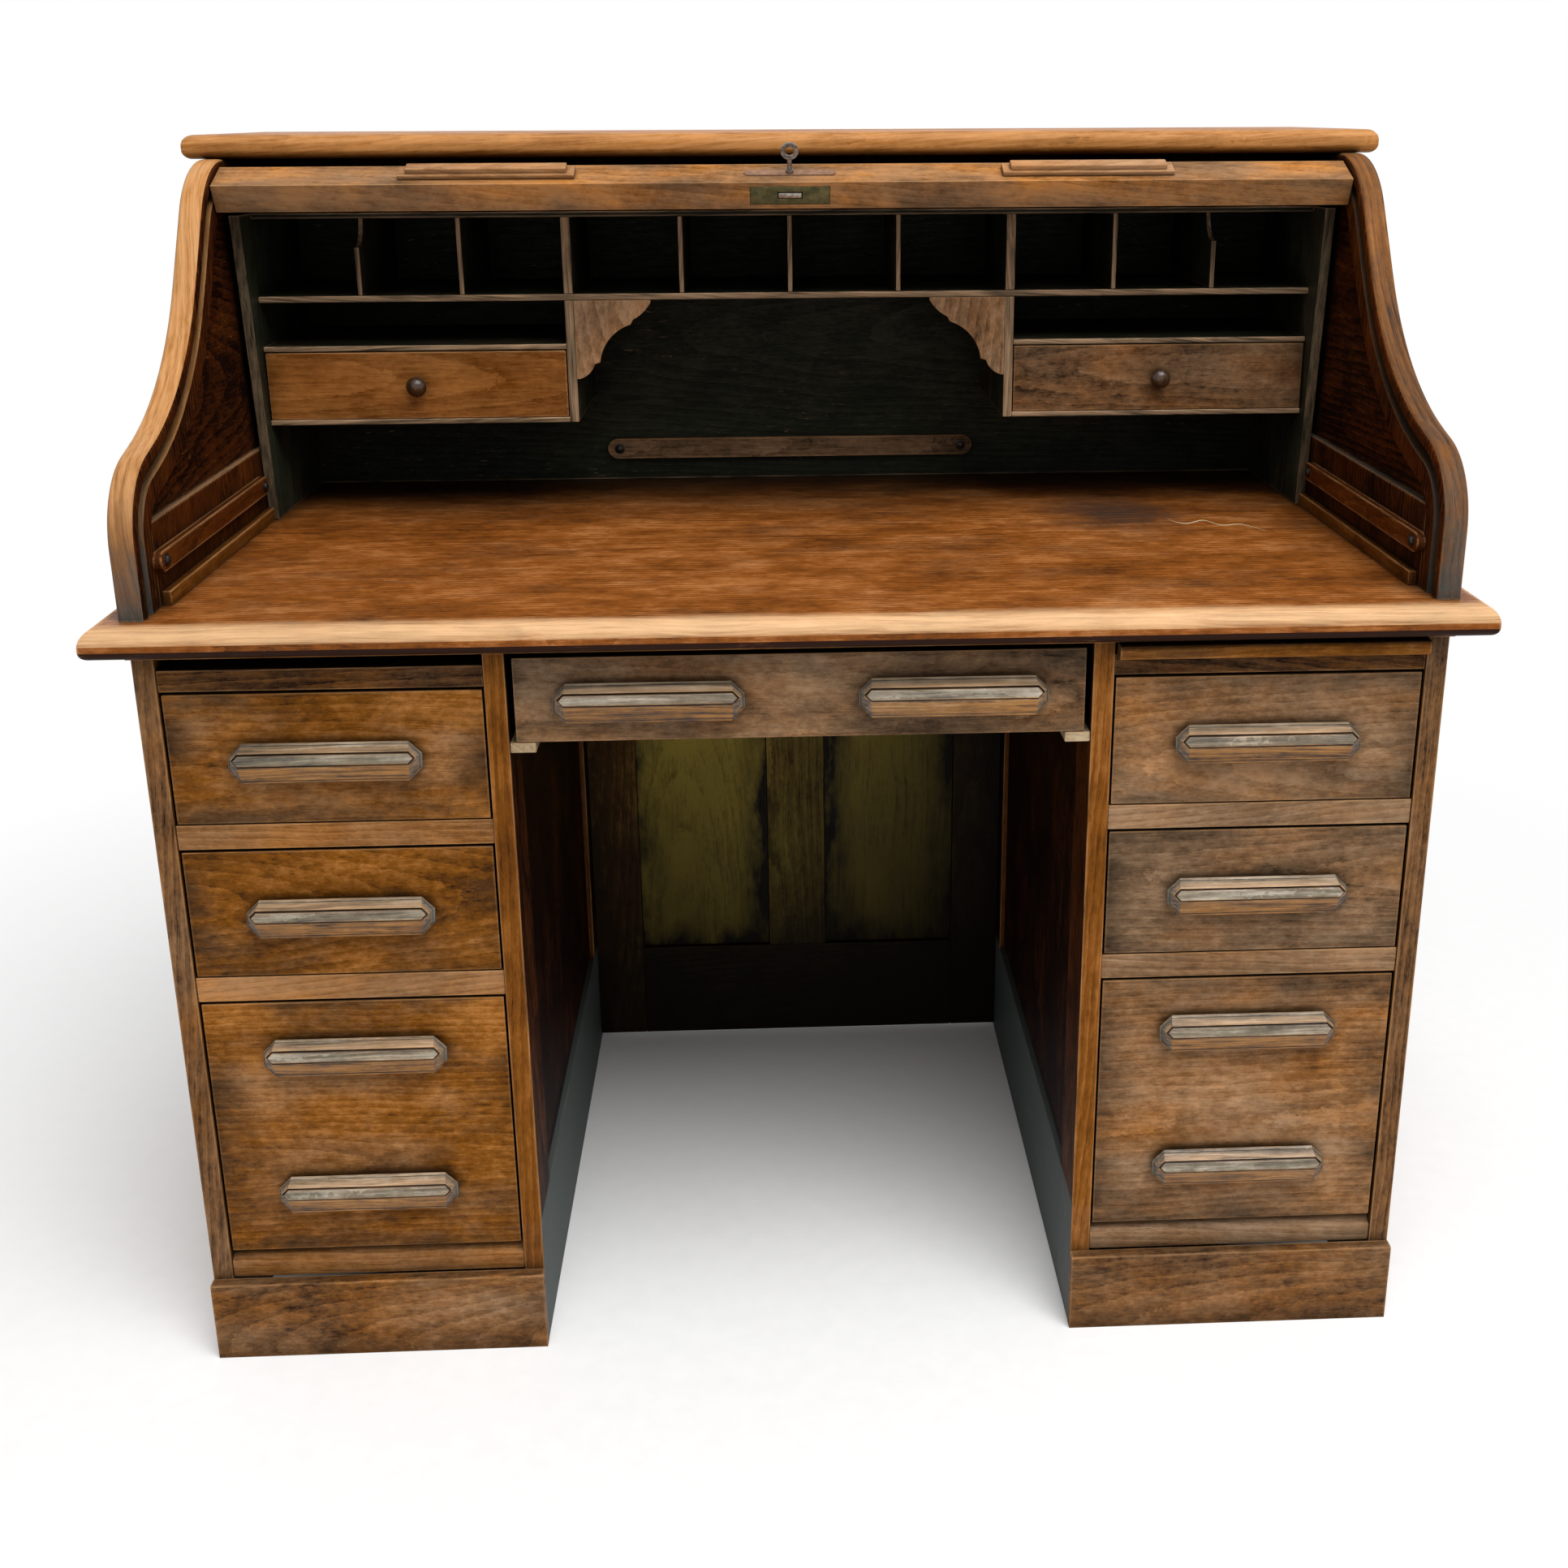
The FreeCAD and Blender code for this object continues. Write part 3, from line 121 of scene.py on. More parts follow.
# The grey the pulls' tops and fronts turn to is a painted reflection
GREY_SHEEN_PULL = ((0.012, 0.010, 0.008), (0.180, 0.142, 0.092), (0.480, 0.420, 0.330))
# The grime colour is grime and painted shade, in hollows, on borders, at the kneehole's back and at the
# writing top's rear
GRIME_AND_SHADE = (0.006, 0.004, 0.002)
DUST = (0.095, 0.115, 0.112)
# The rubbed colours are worn wood and painted highlight where edges and noses face up
RUBBED_AND_HIGHLIGHT = (0.590, 0.320, 0.140)
RUBBED_AND_HIGHLIGHT_INSIDE = (0.620, 0.400, 0.235)
RUBBED_AND_SHEEN_TOP = (0.750, 0.470, 0.245)
STAIN = (0.030, 0.026, 0.022)

# How fine the oak's layers are per metre, along the grain, across it and through the board
FIBRES = (9.0, 330.0, 330.0)
PORES = (42.0, 1150.0, 1150.0)
BLOTCHES = (7.0, 13.0, 13.0)
PATCHES = (34.0, 60.0, 60.0)
CRAZING = (95.0, 150.0, 150.0)
HUES = (6.0, 15.0, 15.0)
SPECKS = (48.0, 330.0, 330.0)

# The grain's sway in metres and how fine it is, the growth rings, and how dark rings and pores are
SWAY = (0.0, 0.020, 0.020)
SWAY_SCALE = 4.0
RING_SCALE = 46.0
RING_TONE = 0.20
PORE_TONE = 0.16

# How far soil and painted shade reach in from the border of a board, and rubbing and painted highlight from
# its edge, in metres
SOIL_AND_SHADE_REACH = 0.045
RUB_AND_HIGHLIGHT_FULL = 0.0004
RUB_AND_HIGHLIGHT_NONE = 0.0022

# How strong and how deep the oak's relief is, in metres
RELIEF = 0.40
RELIEF_DEPTH = 0.0006

# The writing surface: its worn front with a painted sheen, the painted shade on its rear, and the centre and
# reach of its stain, in metres
FRONT_SHEEN_AND_WEAR = (-0.348, -0.318)
REAR_SHADE = (0.03, 0.24)
STAIN_CENTRE = (0.358, 0.046, 0.0)
STAIN_REACH = (0.070, 0.085)
TOP_RAGGED = (14.0, 30.0, 30.0)

# The kneehole: how high dust lies on its sides, and where painted shade darkens its back, in metres
DUST_TOP = 0.140
DUST_FADE = 0.006
KNEE_FOOT = (0.10, 0.70)
KNEE_RIGHT = (-0.04, 0.26)
KNEE_RAGGED = (9.0, 9.0, 5.0)

# Metal: how fine its scratches are per metre, and how far its dirt reaches, in metres
SCRATCHES = (90.0, 1400.0, 700.0)
METAL_DIRT = 0.004

# What a corner of a face tells its material: lightness, greyness, soil and painted shade on its border,
# rubbing and painted highlight, and dust
LOOK = ("tint", "fade", "soil_and_shade", "rub_and_highlight", "dust")

# Sockets of the node that mixes two colours, and how closely hollows are looked for
MIX_FACTOR = 0
MIX_COLOURS = (6, 7)
MIX_RESULT = 2
HOLLOW_SAMPLES = 3


def rgba(colour):
    return (*colour, 1.0)


# Node helpers


class Shader:
    """A material under construction, with short calls for the nodes it needs."""

    def __init__(self, name):
        self.material = bpy.data.materials.new(name)
        self.material.use_nodes = True
        self.tree = self.material.node_tree
        self.surface = self.tree.nodes["Principled BSDF"]

    def node(self, kind, inputs=(), **settings):
        made = self.tree.nodes.new(kind)
        for key, value in settings.items():
            setattr(made, key, value)
        for key, value in dict(inputs).items():
            self.feed(made.inputs[key], value)
        return made

    def feed(self, socket, value):
        if isinstance(value, bpy.types.NodeSocket):
            self.tree.links.new(value, socket)
        else:
            socket.default_value = value

    def attribute(self, name, output="Fac"):
        return self.node("ShaderNodeAttribute", attribute_name=name).outputs[output]

    def place(self):
        return self.node("ShaderNodeTexCoord").outputs["Object"]

    def parts(self, vector):
        return self.node("ShaderNodeSeparateXYZ", {"Vector": vector}).outputs

    def vector(self, operation, first, second=(0.0, 0.0, 0.0), output="Vector"):
        made = self.node("ShaderNodeVectorMath", {0: first, 1: second}, operation=operation)
        return made.outputs[output]

    def noise(self, vector, scale, detail=3.0, roughness=0.55):
        inputs = {"Vector": vector, "Scale": scale, "Detail": detail, "Roughness": roughness}
        return self.node("ShaderNodeTexNoise", inputs).outputs["Fac"]

    def layer(self, vector, fineness, detail, roughness):
        """Noise that is as fine along each axis as its three numbers say."""
        return self.noise(self.vector("MULTIPLY", vector, fineness), 1.0, detail, roughness)

    def math(self, operation, first, second=0.0):
        return self.node("ShaderNodeMath", {0: first, 1: second}, operation=operation).outputs["Value"]

    def times(self, first, second):
        return self.math("MULTIPLY", first, second)

    def swing(self, layer, amount):
        """A layer of noise made to swing about zero."""
        return self.times(self.math("SUBTRACT", layer, 0.5), amount)

    def remap(self, value, low, high, to_low=0.0, to_high=1.0):
        inputs = {
            "Value": value, "From Min": low, "From Max": high, "To Min": to_low, "To Max": to_high,
        }
        return self.node("ShaderNodeMapRange", inputs).outputs["Result"]

    def mix(self, factor, *colours):
        made = self.node("ShaderNodeMix", data_type="RGBA")
        self.feed(made.inputs[MIX_FACTOR], factor)
        for socket, colour in zip(MIX_COLOURS, colours):
            linked = isinstance(colour, bpy.types.NodeSocket)
            self.feed(made.inputs[socket], colour if linked else rgba(colour))
        return made.outputs[MIX_RESULT]

    def ramp(self, factor, colours):
        made = self.node("ShaderNodeValToRGB", {"Fac": factor})
        stops = made.color_ramp.elements
        while len(stops) < len(colours):
            stops.new(0.5)
        for index, colour in enumerate(colours):
            stops[index].position = index / (len(colours) - 1)
            stops[index].color = rgba(colour)
        return made.outputs["Color"]

    def hollows(self, distance):
        inputs = {"Distance": distance}
        return self.node("ShaderNodeAmbientOcclusion", inputs, samples=HOLLOW_SAMPLES).outputs["AO"]

    def facing(self, axis):
        return self.parts(self.node("ShaderNodeNewGeometry").outputs["Normal"])[axis]

    def edge_distance(self):
        """How far a point of a board is from the board's nearest edge."""
        size = self.vector("ABSOLUTE", self.attribute("local", "Vector"))
        room = self.parts(self.vector("SUBTRACT", self.attribute("half", "Vector"), size))
        low = self.math("MINIMUM", room["X"], room["Y"])
        high = self.math("MAXIMUM", room["X"], room["Y"])
        return self.math("MAXIMUM", low, self.math("MINIMUM", high, room["Z"]))

    def bump(self, height, strength, distance):
        inputs = {"Height": height, "Strength": strength, "Distance": distance}
        return self.node("ShaderNodeBump", inputs).outputs["Normal"]

    def finish(self, colour, roughness, normal, **fixed):
        self.feed(self.surface.inputs["Base Color"], colour)
        self.feed(self.surface.inputs["Roughness"], roughness)
        self.feed(self.surface.inputs["Normal"], normal)
        for key, value in fixed.items():
            self.surface.inputs[key].default_value = value
        return self.material


# Materials


def oak_layers(shader):
    """The layers that all oak is built from, each between 0 and 1."""
    board = shader.attribute("board", "Vector")
    noise = shader.node("ShaderNodeTexNoise", {"Vector": board, "Scale": SWAY_SCALE, "Detail": 2.0})
    sway = shader.node(
        "ShaderNodeVectorMath",
        {0: noise.outputs["Color"], 1: SWAY, 2: board},
        operation="MULTIPLY_ADD",
    ).outputs["Vector"]
    rings = shader.node(
        "ShaderNodeTexWave",
        {"Vector": sway, "Scale": RING_SCALE, "Distortion": 1.2, "Detail": 2.0, "Detail Scale": 3.0},
        wave_type="RINGS", rings_direction="X", wave_profile="SAW",
    ).outputs["Fac"]
    return {
        "rings": rings,
        "fibres": shader.layer(sway, FIBRES, 4.0, 0.65),
        "pores": shader.remap(shader.layer(sway, PORES, 2.0, 0.5), 0.56, 0.68),
        "blotches": shader.layer(board, BLOTCHES, 6.0, 0.62),
        "patches": shader.layer(board, PATCHES, 6.0, 0.74),
        "crazing": shader.layer(board, CRAZING, 5.0, 0.72),
        "hues": shader.layer(board, HUES, 5.0, 0.66),
        "specks": shader.layer(board, SPECKS, 4.0, 0.72),
    }


def soiling_and_shade(shader, layers, edge, hollow, grime_and_shade):
    """Grime and painted shade in hollows and, on a face marked for it, soil and painted shade along the
    borders of its board.
    """
    border = shader.times(shader.remap(edge, 0.0, SOIL_AND_SHADE_REACH, 0.9, 0.0), shader.attribute("soil_and_shade"))
    border = shader.times(border, shader.remap(layers["hues"], 0.35, 0.62))
    return shader.math("MAXIMUM", shader.remap(hollow, 0.25, 0.90, grime_and_shade, 0.0), border)


def rubbing_and_highlights(shader, layers, edge, hollow, wear_and_highlight, clear):
    """Rubbed edges and faces with painted highlight, strongest where they face up, less so in hollows and
    underneath, and scattered scuffs.
    """
    uneven = shader.math("ADD", shader.times(layers["fibres"], 0.8), shader.times(layers["blotches"], 0.2))
    limits = (
        shader.remap(uneven, 0.38, 0.60, 0.15, wear_and_highlight),
        shader.remap(hollow, clear, clear + 0.4),
        # Painted highlight: rubbing shows most on edges that face up
        shader.remap(shader.facing("Z"), -0.3, 0.4, 0.25, 1.0),
    )
    worn_and_lit = shader.math("MAXIMUM", shader.remap(edge, RUB_AND_HIGHLIGHT_FULL, RUB_AND_HIGHLIGHT_NONE, 1.0, 0.0), shader.attribute("rub_and_highlight"))
    for limit in limits:
        worn_and_lit = shader.times(worn_and_lit, limit)
    dull = shader.remap(layers["hues"], 0.45, 0.65, 0.0, 0.55)
    scuffs = shader.times(shader.remap(layers["specks"], 0.62, 0.74), dull)
    return shader.math("MAXIMUM", worn_and_lit, shader.times(scuffs, wear_and_highlight))


def relief(shader, layers):
    """Raised fibres and patches, and sunk pores."""
    height = shader.math("SUBTRACT", layers["fibres"], shader.times(layers["pores"], 0.7))
    height = shader.math("ADD", height, shader.times(layers["rings"], 0.15))
    height = shader.math("ADD", height, shader.times(layers["patches"], 0.6))
    return shader.bump(height, RELIEF, RELIEF_DEPTH)


def wood(name, colours, faded=GREY_OAK, rubbed_and_highlight=RUBBED_AND_HIGHLIGHT, grime_and_shade=0.9, grime_and_shade_reach=0.03, wear_and_highlight=0.75, clear=0.30,
         cloud=0.90, mottle=0.55, craze=0.30, grain=0.60, hue=1.1, gloss=0.40, shine=0.06, extra=None):
    """Old polished oak: growth rings, fibres, pores, blotches, crazing, grime and painted shade in hollows,
    and rubbed edges with painted highlight.
    """
    shader = Shader(name)
    layers = oak_layers(shader)
    amounts = {
        "rings": RING_TONE, "fibres": grain, "blotches": cloud, "patches": mottle, "crazing": craze,
        "specks": mottle / 4,
    }
    tone = shader.attribute("tint")
    for key, amount in amounts.items():
        tone = shader.math("ADD", tone, shader.swing(layers[key], amount))
    tone = shader.math("SUBTRACT", tone, shader.times(layers["pores"], PORE_TONE))
    greyed = shader.math("ADD", shader.attribute("fade"), shader.swing(layers["hues"], hue))
    colour = shader.mix(shader.remap(greyed, 0.0, 1.0), shader.ramp(tone, colours), shader.ramp(tone, faded))

    edge = shader.edge_distance()
    hollow = shader.hollows(grime_and_shade_reach)
    # Darkening in hollows and along marked borders: partly grime, partly painted shade
    colour = shader.mix(soiling_and_shade(shader, layers, edge, hollow, grime_and_shade), colour, GRIME_AND_SHADE)
    settled = shader.remap(layers["patches"], 0.70, 0.35, 0.4, 1.0)
    colour = shader.mix(shader.times(shader.attribute("dust"), settled), colour, DUST)
    # Rubbed edges, with painted highlight
    colour = shader.mix(rubbing_and_highlights(shader, layers, edge, hollow, wear_and_highlight, clear), colour, rubbed_and_highlight)
    if extra:
        colour = extra(shader, colour)
    roughness = shader.remap(tone, 0.1, 0.9, gloss + 0.16, gloss - 0.06)
    return shader.finish(colour, roughness, relief(shader, layers), **{"Specular IOR Level": shine})


def desk_stains_and_light(shader, colour):
    """Wear and a painted sheen on the front of the writing surface, painted shade on its rear and the spilt
    stain on its right.
    """
    place = shader.place()
    depth = shader.parts(place)["Y"]
    ragged = shader.layer(place, TOP_RAGGED, 6.0, 0.7)
    above = shader.remap(shader.facing("Z"), 0.1, 0.5)
    front = shader.math("ADD", depth, shader.swing(ragged, 0.03))
    # Painted sheen, with some wear, on the up-facing front of the writing surface
    worn_and_lit = shader.times(shader.remap(front, *FRONT_SHEEN_AND_WEAR, 0.75, 0.0), above)
    colour = shader.mix(worn_and_lit, colour, RUBBED_AND_SHEEN_TOP)
    # Painted shade on the rear of the writing surface, under the pigeonholes
    rear = shader.math("ADD", depth, shader.swing(ragged, 0.16))
    shade = shader.times(shader.remap(rear, *REAR_SHADE, 0.0, 0.90), above)
    colour = shader.mix(shade, colour, GRIME_AND_SHADE)
    offset = shader.vector("SUBTRACT", place, STAIN_CENTRE)
    offset = shader.vector("MULTIPLY", offset, (1.0 / STAIN_REACH[0], 1.0 / STAIN_REACH[1], 0.0))
    away = shader.vector("LENGTH", offset, output="Value")
    away = shader.math("ADD", away, shader.swing(ragged, 2.2))
    return shader.mix(shader.remap(away, 0.30, 1.35, 0.72, 0.0), colour, STAIN)


def low_dust(shader, colour):
    """Dust along the foot of the kneehole's sides, but not on their front edges."""
    height = shader.parts(shader.place())["Z"]
    dusty = shader.remap(height, DUST_TOP, DUST_TOP + DUST_FADE, 0.8, 0.0)
    amount = shader.math("SUBTRACT", dusty, shader.attribute("fade"))
    return shader.mix(shader.remap(amount, 0.0, 1.0), colour, DUST)


def knee_shade(shader, colour):
    """Painted shade that thickens to the foot and the right of the kneehole's back, on the sitter's side."""
    place = shader.place()
    parts = shader.parts(place)
    ragged = shader.layer(place, KNEE_RAGGED, 5.0, 0.6)
    height = shader.math("ADD", parts["Z"], shader.swing(ragged, 0.25))
    front = shader.remap(shader.facing("Y"), 0.3, 0.1)
    foot = shader.times(shader.remap(height, *KNEE_FOOT, 0.95, 0.0), front)
    colour = shader.mix(foot, colour, GRIME_AND_SHADE)
    right = shader.times(shader.remap(parts["X"], *KNEE_RIGHT, 0.0, 0.92), front)
    return shader.mix(right, colour, GRIME_AND_SHADE)


def metal(name, colour, tarnish, roughness, spread, clouding=260.0):
    """Worn metal: tarnish in clouds and hollows, and fine scratches."""
    shader = Shader(name)
    place = shader.place()
    clouds = shader.noise(place, clouding, 5.0, 0.65)
    scratches = shader.layer(place, SCRATCHES, 3.0, 0.6)
    dirt = shader.remap(shader.hollows(METAL_DIRT), 0.3, 0.95, 1.0, 0.0)
    amount = shader.math("MAXIMUM", shader.remap(clouds, 0.5 - spread, 0.5 + spread), dirt)
    base = shader.mix(amount, colour, tarnish)
    rough = shader.remap(clouds, 0.3, 0.7, roughness, roughness + 0.25)
    return shader.finish(base, rough, shader.bump(scratches, 0.25, 0.0002), Metallic=1.0)


MATERIALS = {
    "oak": wood("old_oak", OAK, grime_and_shade=1.0, grime_and_shade_reach=0.035, craze=0.60, hue=1.6),
    "front_oak": wood("drawer_front_oak", OAK, grime_and_shade=1.0, grime_and_shade_reach=0.035, cloud=1.2,
                      mottle=0.85, craze=0.90, grain=0.30, hue=2.2, wear_and_highlight=0.45),
    "red_oak": wood("red_oak", RED_OAK, faded=OAK, extra=low_dust),
    "top_oak": wood("writing_top_oak", TOP_OAK, rubbed_and_highlight=RUBBED_AND_SHEEN_TOP, wear_and_highlight=0.80, cloud=1.3, mottle=0.95,
                    grain=0.75, gloss=0.36, shine=0.10, extra=desk_stains_and_light),
    "knee_oak": wood("knee_oak", KNEE_OAK, faded=RED_OAK, wear_and_highlight=0.25, grime_and_shade=1.0, grime_and_shade_reach=0.040,
                     extra=knee_shade),
    # Its long reach darkens the pigeonholes deeply, as painted shade
    "interior_oak": wood("interior_oak", SHADED_INSIDE_OAK, rubbed_and_highlight=RUBBED_AND_HIGHLIGHT_INSIDE, grime_and_shade_reach=0.07, wear_and_highlight=1.0,
                         clear=-0.3),
    "pale_oak": wood("pale_oak", PALE_OAK, grime_and_shade=0.7, gloss=0.6),
    "carved_pull": wood("carved_pull_oak", PULL_OAK, faded=GREY_SHEEN_PULL, grime_and_shade_reach=0.008, mottle=0.90,
                        grain=1.6, gloss=0.24, shine=0.4),
    "turned_knob": wood("turned_knob_oak", KNOB_OAK, grime_and_shade_reach=0.01, gloss=0.16, wear_and_highlight=0.2, shine=0.5),
    "tambour_oak": wood("tambour_oak", OAK),
    "lead_pull": wood("lead_pull_oak", OAK, gloss=0.35),
    "lock_brass": metal("lock_brass", (0.22, 0.20, 0.090), (0.040, 0.048, 0.026), 0.45, 0.26, 90.0),
    "bronze": metal("worn_bronze", (0.42, 0.25, 0.16), (0.15, 0.085, 0.055), 0.48, 0.30, 120.0),
    "bolt_steel": metal("bolt_steel", (0.60, 0.58, 0.54), (0.16, 0.13, 0.10), 0.28, 0.16),
    "dark_iron": metal("dark_iron", (0.060, 0.055, 0.050), (0.018, 0.014, 0.011), 0.42, 0.25),
    "key_steel": metal("key_steel", (0.36, 0.33, 0.29), (0.06, 0.045, 0.035), 0.34, 0.2),
}


# Pieces


class Draft:
    """The points, faces and surface values of a piece that is being put together."""

    def __init__(self):
        self.points = []
        self.faces = []
        self.boards = []
        self.grain = []
        self.vectors = {"local": [], "half": []}
        self.values = {key: [] for key in LOOK}

    def point(self, place, board, local, half):
        self.points.append(place)
        self.boards.append(board)
        for key, value in (("local", local), ("half", half)):
            self.vectors[key].extend(value)

    def face(self, corners, looks, squeeze=1.0):
        self.faces.append(corners)
        for corner, look in zip(corners, looks):
            along, across, through = self.boards[corner]
            self.grain.extend((along, across * squeeze, through))
            for key in LOOK:
                self.values[key].append(look.get(key, 0.0))

    def skin(self, first, rings, sides, look):
        """Faces between rings of points, and over both ends."""
        for near in range(first, first + (rings - 1) * sides, sides):
            for side in range(sides):
                follow = (side + 1) % sides
                corners = (near + side, near + follow, near + sides + follow, near + sides + side)
                self.face(corners, [look] * 4)
        last = first + (rings - 1) * sides
        self.face([first + side for side in reversed(range(sides))], [look] * sides)
        self.face([last + side for side in range(sides)], [look] * sides)

    def finish(self, name, body, slot, material=None, stands_for=()):
        mesh = bpy.data.meshes.new(name)
        mesh.from_pydata(self.points, [], self.faces)
        for key, values in self.vectors.items():
            mesh.attributes.new(key, "FLOAT_VECTOR", "POINT").data.foreach_set("vector", values)
        mesh.attributes.new("board", "FLOAT_VECTOR", "CORNER").data.foreach_set("vector", self.grain)
        for key, values in self.values.items():
            mesh.attributes.new(key, "FLOAT", "CORNER").data.foreach_set("value", values)
        mesh.materials.append(MATERIALS[material or slot])
        mesh.polygons.foreach_set("use_smooth", [True] * len(mesh.polygons))
        mesh.set_sharp_from_angle(angle=math.radians(SHARP_EDGE))
        made = bpy.data.objects.new(name, mesh)
        bpy.context.scene.collection.objects.link(made)
        made.modifiers.new("even_shading", "WEIGHTED_NORMAL").keep_sharp = True
        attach(made, body)
        if stands_for:
            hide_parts(*stands_for)


def box_of(places):
    """The lowest and the highest corner around some places."""
    low = [min(place[axis] for place in places) for axis in range(3)]
    high = [max(place[axis] for place in places) for axis in range(3)]
    return low, high


def boards_of(node):
    """The closed boards of a CAD node, each a list of corner loops."""
    mesh = frame["nodes"][node].data
    corners = [vertex.co.to_tuple(6) for vertex in mesh.vertices]
    boards = []
    loops = []
    waiting = Counter()
    open_edges = 0
    for face in mesh.polygons:
        loop = [corners[index] for index in face.vertices]
        loops.append(loop)
        for start, end in zip(loop, loop[1:] + loop[:1]):
            if start == end:
                continue
            if waiting[(end, start)]:
                waiting[(end, start)] -= 1
                open_edges -= 1
            else:
                waiting[(start, end)] += 1
                open_edges += 1
        if not open_edges:
            boards.append(loops)
            loops = []
    return boards


def eased_board(loops, eased):
    """One board as a clean mesh with its sharp edges eased."""
    made = bmesh.new()
    points = {}
    for loop in loops:
        for place in loop:
            if place not in points:
                points[place] = made.verts.new(place)
    for loop in loops:
        if len(set(loop)) == len(loop):
            made.faces.new([points[place] for place in loop])
    bmesh.ops.dissolve_limit(
        made, angle_limit=math.radians(FLAT_FACE), verts=made.verts[:], edges=made.edges[:])
    sharp = [
        edge for edge in made.edges
        if edge.is_manifold and edge.is_convex and edge.calc_face_angle() > math.radians(SHARP_EDGE)
    ]
    if eased and sharp:
        bmesh.ops.bevel(made, geom=sharp, offset=eased, offset_type="OFFSET", segments=EASING_STEPS,
                        profile=0.5, affect="EDGES", clamp_overlap=True)
    made.verts.index_update()
    made.normal_update()
    return made


def grain_axes(sizes, along):
    """The axes along the grain, across it and through the board."""
    order = sorted(range(3), key=lambda axis: -sizes[axis])
    if along is not None:
        order.remove(along)
        order.insert(0, along)
    return order


def cut_from_tree(dice, across, heart):
    """Where in its tree a piece is cut: along the grain, across it and out from the heart."""
    return (dice.uniform(-ALONG_SHIFT, ALONG_SHIFT), dice.uniform(-across, across), dice.uniform(*heart))


def dress(node, eased=EASED, along=None, fade=0.0, tint=0.5, soil_and_shade=0.0, tilt=0.0, curved=False, paint=None,
          material=None):
    """A CAD node redrawn board by board, with eased edges and the grain of each board."""
    cad = frame["nodes"][node]
    dice = random.Random(node)
    draft = Draft()
    level = Matrix.Rotation(math.radians(-tilt), 3, "X")
    for loops in boards_of(node):
        made = eased_board(loops, eased)
        first = len(draft.points)
        turned = [level @ vertex.co for vertex in made.verts]
        low, high = box_of(turned)
        axes = grain_axes([top - bottom for bottom, top in zip(low, high)], along)
        half = [(high[axis] - low[axis]) / 2 for axis in axes]
        shift = cut_from_tree(dice, BOARD_SHIFT, BOARD_HEART)
        lean = dice.uniform(-BOARD_LEAN, BOARD_LEAN)
        lighter = dice.uniform(-BOARD_SPREAD, BOARD_SPREAD)
        for vertex, place in zip(made.verts, turned):
            local = [place[axis] - (high[axis] + low[axis]) / 2 for axis in axes]
            board = (local[0] + shift[0], local[1] + shift[1], local[2] + shift[2] + lean * local[0])
            draft.point(vertex.co.copy(), board, local, half)
        for face in made.faces:
            looks = []
            for vertex in face.verts:
                look = {"tint": tint, "fade": fade, "soil_and_shade": soil_and_shade}
                if paint:
                    look.update(paint(face.normal, vertex.co, low, high))
                look["tint"] += lighter
                looks.append(look)
            squeeze = CURVE_SQUEEZE if curved and abs(face.normal.x) < FACING else 1.0
            draft.face([first + vertex.index for vertex in face.verts], looks, squeeze)
        made.free()
    slot = cad.data.materials[0].name.split(".")[0]
    draft.finish(node + ".wood", cad["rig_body"], slot, material, [node])


# Paint: what a face looks like by the way it faces and by where it lies

# How far a face must turn to lie on one half of a nose, on a scoop, on a round or on a leaning front
NOSE_TURN = 0.05
SCOOP_TURN = 0.1
ROUND_TURN = 0.2
LEANING_TURN = 0.5

# How fast rubbing and painted highlight grow as the writing top's nose turns outward, and how dark the
# painted shade on its lower half is
NOSE_RUB_AND_HIGHLIGHT = 2.0
NOSE_SHADE = -0.15

# Heights between which the gables' front edges turn from dusty to rubbed with painted highlight, in metres
GABLE_DULL = 0.80
GABLE_BRIGHT = 0.93

# How rubbed and painted with highlight, how light and how dusty the front edges of the two gables are, and
# how dusty their feet
LEFT_EDGE = (1.0, 0.62, 0.0)
RIGHT_EDGE = (0.05, 0.09, 0.16)
FOOT_DUST = 0.60

# The kneehole's back: its rear, how wide and how far from the middle its muntin is, and its low rail's top
MODESTY_REAR = {"tint": 0.72, "fade": 0.90}
MUNTIN_WIDTH = 0.08
MUNTIN_PLACE = 0.10
LOW_RAIL_TOP = 0.20

# The height above which a rail of the pedestals is the topmost one, in metres
TOP_RAIL_FOOT = 0.70

# The scooped outer dividers: how far out they stand and where their scoop starts, in metres
SCOOPED_PLACE = 0.46
SCOOP_FOOT = 1.06


def gable_paint(normal, place, low, high):
    """A red inner face, an oak outer face and a front edge that is dusty at its foot and rubbed above, with
    painted highlight growing towards its top.
    """
    if abs(normal.x) < FACING:
        height = min(1.0, max(0.0, (place.z - GABLE_DULL) / (GABLE_BRIGHT - GABLE_DULL)))
        rub_and_highlight, tint, dust = LEFT_EDGE if place.x < 0 else RIGHT_EDGE
        dust += (FOOT_DUST - dust) * (1.0 - height)
        return {"fade": 0.85, "tint": 0.22 + tint * height, "rub_and_highlight": rub_and_highlight * height, "dust": dust}
    return {"fade": 0.9, "tint": 0.46} if normal.x * place.x > 0 else {"tint": 0.20}


def gable_panel_paint(normal, place, low, high):
    """An oak outer face and a dark red inner face."""
    return {"fade": 0.9, "tint": 0.42} if normal.x * place.x > 0 else {}


def outer_frame_paint(normal, place, low, high):
    """Dull front edges on the outer frames of the pedestals."""
    return {"tint": 0.32, "fade": 0.55} if normal.y < -FACING else {}


